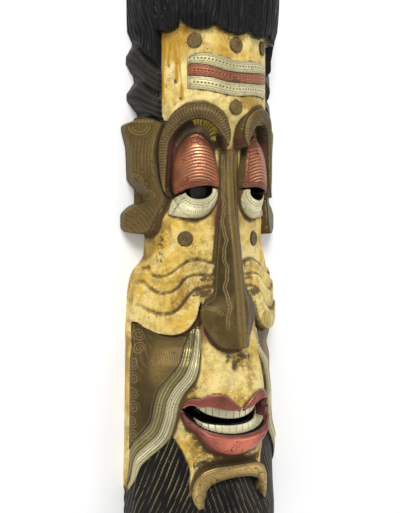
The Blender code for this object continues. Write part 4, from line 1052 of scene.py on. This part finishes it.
def metal(name, dark, body, bright, rough, line, patina=0.5, tarnish=(0.02, 0.016, 0.01), shine=0.82):
    """Old sheet metal: tarnished in patches and at the rim, its cut lines in a colour of their own, and
    brighter where hands and cloths rub it and where a highlight is painted on."""
    made = Finish(name)
    wide = made.noise(14.0, 3.0, 0.6)
    blotch = made.noise(55.0, 5.0, 0.65, warp=0.4)
    fine = made.noise(420.0, 2.0, 0.6)
    cut = made.read("cut")
    polish_and_highlight = made.read("polish_and_highlight")
    rim = made.read("rim")
    colour = made.mix((wide * 0.7 + blotch * 0.6).between(0.45, 0.85), dark, body)
    colour = made.mix((polish_and_highlight * (0.5 + blotch)).least(1.0) * 0.9, colour, bright)
    colour = made.mix((cut * (0.6 + blotch * 0.7)).least(0.95), colour, line)
    colour = made.mix(rim * (0.2 + blotch * 0.6), colour, tarnish)
    colour = made.mix((fine * 0.5 + blotch * 0.6).between(0.575, 0.69) * patina, colour, tarnish)
    made.paint(Base_Color=colour, Metallic=shine - cut * 0.5 - rim * 0.2)
    made.paint(Roughness=(rough + (blotch - 0.5) * 0.30 + cut * 0.25 - polish_and_highlight * 0.08).most(0.16))
    unevenness = fine * 0.25 + blotch * 0.9 + wide * 1.2 - cut * 1.2
    made.paint(Normal=made.bump(unevenness, 0.0005, 0.55))
    return made


def stroke_place(s, y, stroke):
    """Where a place lies beside a stroke: across it from -1 to 1, and along it in millimetres."""
    length = np.concatenate([[0], np.cumsum(np.hypot(*np.diff(stroke[:, :2], axis=0).T))])
    run = np.gradient(stroke[:, :2], axis=0)
    line = np.concatenate([stroke[:, :3], length[:, None], run], axis=1)
    apart, value = nearest(s, y, line)
    side = np.sign((s - value[0]) * -value[5] + (y - value[1]) * value[4])
    return side * apart / np.maximum(value[2], 0.5), value[3]


AGED_BRASS = metal("aged_brass", dark=(0.050, 0.032, 0.008), body=(0.115, 0.074, 0.017),
                   bright=(0.26, 0.165, 0.045), rough=0.50, line=(0.30, 0.20, 0.075), patina=0.6, shine=0.62)
RIB_PITCH = 4.1


def brow_ribs(s, y, inside):
    across, along = stroke_place(np.abs(s), y, BROW)
    phase = spaced(along + 2.6 * across ** 2 - 0.8 * across, RIB_PITCH)
    rib = np.cos(phase * 2 * math.pi / RIB_PITCH)
    edge_line = engraved(inside - 2.2, 0.9)
    ribs = rise(inside, 2.0, 3.2)
    height = 0.16 * (rib - 1) * ribs - 0.2 * edge_line
    cut = engraved(np.abs(phase) - RIB_PITCH / 2, 0.8) * ribs * 0.55 + edge_line * 0.5
    return height, cut, rise(rib, 0.3, 1.0) * ribs * 0.2


for side in ("_left", "_right"):
    nailed_on("brow" + side, brow_ribs, AGED_BRASS, "aged_brass_sheet")


# The eyelids
# Copper over the upper lids, ribbed across with arcs and punched above the rim; a pale white metal below,
# cut out in a half moon where the pupil is pierced through the wood.
COPPER = metal("copper", dark=(0.15, 0.046, 0.020), body=(0.34, 0.105, 0.043), bright=(0.74, 0.32, 0.16),
               rough=0.43, line=(0.06, 0.022, 0.013), patina=0.75, tarnish=(0.05, 0.018, 0.012), shine=0.7)
WHITE_METAL = metal("white_metal", dark=(0.34, 0.30, 0.13), body=(0.60, 0.53, 0.27),
                    bright=(0.95, 0.89, 0.60), rough=0.45, line=(0.05, 0.042, 0.025),
                    tarnish=(0.12, 0.10, 0.05), shine=0.55)


def punched(u, v, pitch, radius):
    """A row of round punch marks along v = 0."""
    return 1 - rise(np.hypot(spaced(u, pitch), v), radius * 0.5, radius)


def arc_line(s, y, s0, y0, radius, width=0.9, start=-180, end=180):
    """An engraved arc of a circle, between two bearings in degrees."""
    turn = np.degrees(np.arctan2(y - y0, s - s0))
    return engraved(np.hypot(s - s0, y - y0) - radius, width) * ((turn >= start) & (turn <= end))


def arc_lines(s, y, rows):
    return sum(arc_line(s, y, *row) for row in rows)


def lid_arcs(s, y, inside):
    a = np.abs(s)
    across = a - 54
    phase = spaced(y + 0.0125 * across ** 2, 4.7)
    field = rise(inside, 3.0, 4.5) * rise(y, 118, 120) * (1 - rise(y + 0.0125 * across ** 2, 168, 171))
    field *= 1 - rise(np.abs(across - 2), 24, 27)
    rib = np.cos(phase * 2 * math.pi / 4.7)
    low = y - np.interp(a, [23, 44, 67, 82, 93, 99], [110.5, 111.5, 108, 103, 99.5, 107])
    rim_line = engraved(low - 3.0, 0.8)
    row = punched(a, low - 7.4, 4.4, 1.7)
    side = engraved(inside - 3.2, 0.8) * (y > 114)
    petals = arc_lines(a, y, [(62, 186, 12, 0.9, -180, 0), (50, 178, 8, 0.8), (75, 174, 8, 0.8),
                              (30, 138, 6), (36, 158, 6)])
    cut = 0.75 * engraved(np.abs(phase) - 2.35, 1.0) * field + 0.7 * rim_line + row + 0.5 * side
    cut += 0.7 * np.clip(petals, 0, 1) * (1 - field)
    lit = rise(rib, 0.0, 1.0) * field * np.exp(-((across + 6) / 22) ** 2)
    height = 0.15 * (rib - 1) * field - 0.25 * np.clip(cut, 0, 1) * (1 - field)
    return height, cut, lit + 0.25 * rise(inside, 8, 20)


def lower_lid_marks(s, y, inside):
    a = np.abs(s)
    ring_at = np.hypot(a - 55.5, (y - 106) * 1.25)
    turn = np.degrees(np.arctan2((y - 106) * 1.25, a - 55.5))
    row = punched(turn * ring_at / 57.3, ring_at - 27.5, 4.2, 1.7)
    strokes = (1 - rise(np.abs(ring_at - 40), 1.8, 2.6)) * engraved(spaced(turn, 4.6), 0.9)
    strokes *= (turn > -125) & (turn < -60)
    lines = engraved(ring_at - 23.6, 0.7) + engraved(ring_at - 31.6, 0.7)
    leaf = arc_lines(a, y, [(62, 62, 36, 0.9, 5, 70), (72, 60, 30, 0.8, 5, 75)])
    feather = engraved(spaced(a * 0.55 + y, 3.4), 0.8) * (np.hypot(a - 62, y - 62) > 37) * (a > 80)
    inner_leaf = arc_line(a, y, 22, 78, 12, 0.8, -60, 80)
    cut = row + 0.7 * strokes + 0.6 * lines * (turn < -8) * (turn > -172)
    cut += 0.8 * leaf + 0.5 * feather + 0.6 * inner_leaf
    return -0.28 * np.clip(cut, 0, 1), cut, 0.35 + 0.4 * rise(inside, 3, 12)


for side, hand in (("_left", -1), ("_right", 1)):
    nailed_on("upper_eyelid" + side, lid_arcs, COPPER, "copper_sheet")
    nailed_on("lower_eyelid" + side, lower_lid_marks, WHITE_METAL, "white_metal_sheet",
              hole=PUPIL * (hand, 1))


# The nose
# One long piece of brass from the brows to over the nostrils: double wavy lines down each side, a band
# stippled along the ridge, and a plain burnished tip.
def nose_marks(s, y, inside):
    a = np.abs(s)
    t = a / through(y, NOSE_HALF)
    wave = 1.7 * np.sin(y * 2 * math.pi / 47) + 0.5 * np.sin(y * 2 * math.pi / 19) - 0.02 * (y - 150)
    wave = np.where(y < 100, wave, wave * 0.6 - 0.3)
    along = rise(y, -100, -80) * (1 - rise(y, 156, 160))
    double = engraved(a - 10.5 - wave, 0.85) + engraved(a - 13.4 - wave, 0.8)
    border = engraved(a - 5.0, 0.75) + engraved(inside - 3.0, 0.8)
    stipple = punched(y + np.rint(a / 2.2) * 1.1, spaced(a, 2.2), 2.2, 0.75) * (a < 4.6) * rise(y, -100, -80)
    wing = sum(arc_line(a, y, 42, -84, radius, 0.9, 30, 150) for radius in (20, 23.5)) * (a > 17)
    cut = (0.85 * double + 0.45 * border) * along + 0.55 * stipple + 0.6 * wing
    gleam = np.exp(-((a - 3.0) / 3.0) ** 2) * 0.6 + 0.35 * np.clip(double, 0, 1) * along
    return -0.22 * np.clip(cut, 0, 1), cut * 0.8, gleam + 0.25 * np.exp(-((t - 0.75) / 0.2) ** 2) * (y < -60)


nailed_on("nose", nose_marks, AGED_BRASS, "aged_brass_sheet")


# The ears
# Thin brass ears spread flat on each side, engraved with petals, beads and long curved flutes.
def ear_marks(s, y, inside):
    a = np.abs(s)
    petals = arc_lines(a, y, [(142, 200, 13, 0.9, -180, 0), (142, 200, 9, 0.8, -180, 0), (150, 118, 12),
                              (150, 118, 8.5, 0.8), (132, 96, 10, 0.9, -60), (163, 96, 10, 0.9, 0)])
    beads = punched(a, y - 206, 4.2, 1.3) * (a > 124) * (a < 166)
    angle = np.degrees(np.arctan2(y - 122, a - 150))
    beads += punched(angle * 16 / 57.3, np.hypot(a - 150, y - 118) - 16, 4.4, 1.3) * (y < 118)
    flutes = engraved(spaced(np.hypot(a - 100, (y - 150) * 0.45), 4.4), 0.9)
    flutes *= rise(y, 128, 136) * (1 - rise(y, 176, 184)) * (a < 168)
    lower = engraved(spaced(np.hypot(a - 175, (y - 20) * 0.8), 5.2), 0.9) * (1 - rise(y, 80, 88))
    border = engraved(inside - 3.0, 0.9) + 0.8 * engraved(inside - 5.6, 0.8)
    cut = 0.5 * petals + 0.8 * beads + 0.3 * flutes + 0.25 * lower + 0.35 * border
    polish_and_highlight = 0.75 * rise(cut, 0.2, 0.8) * rise(y, 150, 200) + 0.2 * rise(inside, 2, 6)
    return -0.28 * np.clip(cut, 0, 1), cut * 0.85, polish_and_highlight


for side in ("_left", "_right"):
    nailed_on("ear" + side, ear_marks, AGED_BRASS, "aged_brass_sheet", cell=0.95)


# The bands and roundels of the forehead
# Three bands side by side, white metal, copper and white metal, each with a line at both edges and a row
# of punched dots; five small brass discs like coins, beaten up in the middle, are nailed round them.
def band_marks(high, low):
    def marks(s, y, inside):
        top = np.interp(s, high[:, 0], high[:, 1])
        bottom = np.interp(s, low[:, 0], low[:, 1])
        t = (y - bottom) / (top - bottom)
        size = top - bottom
        lines = engraved((t - 0.14) * size, 0.75) + engraved((t - 0.86) * size, 0.75)
        lines += engraved((t - 0.30) * size, 0.7) + engraved((t - 0.74) * size, 0.7)
        lines += engraved(np.abs(s) - 68.5, 0.8)
        row = punched(s, (t - 0.52) * size, 5.2, 1.8) * (np.abs(s) < 66)
        fine = punched(s + 1.1, (t - 0.22) * size, 1.9, 0.6) * 0.6
        cut = 0.7 * lines + row + fine
        crown = 0.5 * np.sin(math.pi * np.clip(t, 0, 1))
        return crown - 0.25 * np.clip(cut, 0, 1), cut, 0.08 + 0.35 * rise(s, -40, 50)
    return marks


BAND_THICKNESS = 2.3
ROUNDEL_THICKNESS = 1.9
BANDS = (("upper", WHITE_METAL, "white_metal_sheet"), ("middle", COPPER, "copper_sheet"),
         ("lower", WHITE_METAL, "white_metal_sheet"))
for (name, finish, slot), high, low in zip(BANDS, edges, edges[1:]):
    nailed_on("forehead_band_" + name, band_marks(high, low), finish, slot, thickness=BAND_THICKNESS)


def coin_marks(s0, y0, surface):
    def marks(s, y, inside):
        out = np.hypot((s - s0) * surface / WRAP, y - y0)
        turn = np.arctan2(y - y0, (s - s0) * surface / WRAP)
        rings = engraved(out - 8.2, 0.8) + engraved(out - 5.4, 0.6)
        petals = engraved(spaced(turn, math.pi / 5) * out, 0.7) * (out > 2.4) * (out < 8)
        curl = engraved(spaced(out - turn * 0.45, 2.8), 0.7) * (out < 5.4)
        cut = rings + 0.8 * petals * (out > 5.4) + 0.8 * curl
        dome = 0.5 * np.sqrt(np.clip(1 - (out / ROUNDEL_RADIUS) ** 2, 0, 1))
        return dome - 0.35 * np.clip(cut, 0, 1), cut * 0.5, 0.15 * (1 - np.clip(cut, 0, 1))
    return marks


for name, s0, y0, surface in ROUNDELS:
    nailed_on(name, coin_marks(s0, y0, surface), AGED_BRASS, "aged_brass_sheet", thickness=ROUNDEL_THICKNESS,
              cell=0.5)


# The sides of the beard
# A brass panel hangs under each cheek, chased with scrolls and fine arcs, and two wavy strands of the
# moustache fall in front of it: the outer one of yellow brass, the inner one of white metal.
GOLD_BRASS = metal("bright_brass", dark=(0.17, 0.105, 0.030), body=(0.34, 0.215, 0.062),
                   bright=(0.62, 0.43, 0.16), rough=0.45, line=(0.05, 0.032, 0.012), patina=0.8)
OLIVE_BRASS = metal("olive_brass", dark=(0.085, 0.066, 0.022), body=(0.18, 0.145, 0.052),
                    bright=(0.44, 0.37, 0.16), rough=0.42, line=(0.028, 0.020, 0.009))


def curl(s, y, s0, y0, reach, pitch, hand):
    """A spiral scroll engraved round one point."""
    out = np.hypot(s - s0, y - y0)
    turn = hand * np.arctan2(y - y0, s - s0)
    return engraved(spaced(out - pitch * turn / (2 * math.pi), pitch), 0.8) * (out < reach)


def panel_marks(s, y, inside):
    a = np.abs(s)
    scrolls = np.zeros(s.shape)
    for k in range(8):
        hand = 1 if k % 2 else -1
        scrolls = np.maximum(scrolls, curl(a, y, 148 - 1.5 * (k % 2), -103 - 21 * k, 9.5, 3.9, hand))
    stems = engraved(spaced(np.hypot(a - 120, (y + 40) * 0.35), 4.3), 0.75)
    stems *= rise(a, 125, 130) * (1 - rise(-y, 150, 165))
    arcs = engraved(spaced(np.hypot(a - 140, (y + 160) * 0.8), 3.0), 0.8)
    arcs *= (1 - rise(a, 120, 128)) * (1 - rise(-y, 165, 180))
    border = engraved(inside - 2.6, 0.8)
    cut = 0.85 * scrolls + 0.35 * stems + 0.45 * arcs + 0.5 * border
    warm = np.exp(-((a - 112) / 14) ** 2 - ((y + 145) / 26) ** 2)
    return -0.22 * np.clip(cut, 0, 1), cut * 0.6, 0.55 * scrolls + 0.7 * warm + 0.25 * arcs


def strand_marks(s, y, inside):
    across, along = stroke_place(np.abs(s), y, INNER_STRAND)
    line = np.zeros(s.shape)
    for at in (-0.52, -0.12, 0.22, 0.58):
        line = np.maximum(line, engraved((across - at - 0.03 * np.sin(along / 17 + at * 9)) * 8, 0.75))
    ends = rise(along, 3, 12)
    # Painted highlight along the middle of the rounded strand.
    return -0.3 * line * ends, 0.9 * line * ends, 0.55 * np.exp(-((across - 0.02) / 0.5) ** 2)


def fall_marks(s, y, inside):
    a = np.abs(s)
    beside_strand = nearest(a, y, INNER_STRAND)[0]
    line = engraved(spaced(beside_strand - 9.0, 4.2), 0.85) * rise(inside, 0.8, 2.0)
    return -0.28 * line, 0.75 * line, 0.35 + 0.3 * rise(inside, 2, 6) * (1 - line)


for side in ("_left", "_right"):
    nailed_on("cheek_panel" + side, panel_marks, AGED_BRASS, "aged_brass_sheet", cell=0.95)
    nailed_on("moustache_inner" + side, strand_marks, WHITE_METAL, "white_metal_sheet")
    nailed_on("moustache_outer" + side, fall_marks, OLIVE_BRASS, "bright_brass_sheet")


# The mouth
# Burnished copper lips, and two rows of teeth cut from white metal and set back in the parted mouth.
def lip_marks(s, y, inside):
    line = engraved(inside - 2.0, 0.7) * 0.35
    nails = punched(s, inside - 3.4, 19.0, 1.2)
    # Painted highlight in the middle of the lower lip.
    full = np.exp(-((s + 4) / 30) ** 2) * rise(inside, 2, 9) * rise(-y, 236, 246) * 1.3
    upper = 0.5 * (1 - rise(inside, 0.6, 1.8)) * (y > -208)
    return 0.35 * nails - 0.15 * line, line + 0.5 * nails, full + upper


TOOTH_GAPS = np.array([-57, -47, -37, -27.5, -17, -5.5, 5.5, 17, 27.5, 37, 47, 57])


def tooth_marks(middle):
    def marks(s, y, inside):
        apart = np.min(np.abs(s[:, None] - middle - TOOTH_GAPS), axis=1)
        gap = engraved(apart, 0.6) * 0.8
        return 0.6 * rise(apart, 0.1, 1.4) - 0.6, gap, np.full(s.shape, 0.6)
    return marks


TEETH = metal("teeth_metal", dark=(0.46, 0.41, 0.22), body=(0.68, 0.62, 0.38), bright=(0.90, 0.85, 0.60),
              rough=0.5, line=(0.10, 0.08, 0.04), patina=0.3, tarnish=(0.20, 0.16, 0.07), shine=0.3)
LIP_COPPER = metal("lip_copper", dark=(0.15, 0.042, 0.028), body=(0.30, 0.080, 0.050),
                   bright=(0.92, 0.27, 0.17), rough=0.42, line=(0.06, 0.022, 0.014), patina=0.8,
                   tarnish=(0.06, 0.022, 0.015), shine=0.5)
for name in ("upper_lip", "lower_lip"):
    nailed_on(name, lip_marks, LIP_COPPER, "copper_sheet", cell=0.8, turned_in=4.0)
for name, middle in (("upper_teeth", 2.0), ("lower_teeth", 5.0)):
    nailed_on(name, tooth_marks(middle), TEETH, "white_metal_sheet", cell=0.55)


# The crescent of the chin
# A moon of bright brass over the tuft of beard, with a petal engraved at each end and stippled between.
def crescent_marks(s, y, inside):
    a = np.abs(s)
    across, along = stroke_place(s, y, CRESCENT)
    petals = arc_lines(a, y, [(46, -316, 8), (54, -333, 5.5), (30, -308, 9, 0.8, -90, 90)])
    border = engraved(inside - 2.2, 0.8)
    dots = punched(along, across * 9, 2.6, 0.7) + punched(along + 1.3, across * 9 - 2.4, 2.6, 0.7)
    cut = 0.75 * petals + 0.6 * border + 0.55 * dots * (a < 40)
    return -0.22 * np.clip(cut, 0, 1), cut, 0.45 + 0.3 * rise(inside, 3, 8)


nailed_on("chin_crescent", crescent_marks, GOLD_BRASS, "bright_brass_sheet")


# The studio
# The mask lies on a plain pale floor under large soft lights, and the camera looks down on it, leaning
# towards ear_left, as in the photograph.
bpy.ops.mesh.primitive_plane_add(size=8, location=(0, 0, -0.0005))
floor = bpy.context.active_object
floor.name = "floor"
pale = Finish("pale_floor")
pale.paint(Base_Color=(0.93, 0.93, 0.93, 1), Roughness=0.75)
floor.data.materials.append(pale.material)


def soft_light(name, place, size, power):
    """A square lamp that shines at the middle of the mask."""
    bpy.ops.object.light_add(type="AREA", location=place)
    lamp = bpy.context.active_object
    lamp.name = name
    lamp.data.size = size
    lamp.data.energy = power
    lamp.rotation_euler = (Vector((0, 0, 0.05)) - Vector(place)).to_track_quat("-Z", "Y").to_euler()


soft_light("key", (-0.8, 1.6, 1.9), 1.0, 50)
soft_light("fill", (1.7, -0.2, 1.5), 1.4, 12)
soft_light("low", (-1.4, -1.2, 1.0), 1.2, 9)
bpy.context.scene.view_settings.view_transform = "Standard"
world = bpy.data.worlds.new("pale_room")
bpy.context.scene.world = world
world.use_nodes = True
world.node_tree.nodes["Background"].inputs["Color"].default_value = (1, 1, 1, 1)
world.node_tree.nodes["Background"].inputs["Strength"].default_value = 0.5

camera_data = bpy.data.cameras.new("camera")
camera = bpy.data.objects.new("camera", camera_data)
bpy.context.scene.collection.objects.link(camera)
CAMERA_DISTANCE = 1.364
CAMERA_ALONG = 0.050
LEAN = math.radians(30)
camera.location = (-CAMERA_DISTANCE * math.sin(LEAN), CAMERA_ALONG, CAMERA_DISTANCE * math.cos(LEAN))
camera.rotation_euler = (0, -LEAN, 0)
camera_data.sensor_fit = "VERTICAL"
camera_data.sensor_height = 36
camera_data.lens = 61.75
camera_data.shift_x = 0.0049
camera_data.shift_y = -0.0536
bpy.context.scene.camera = camera
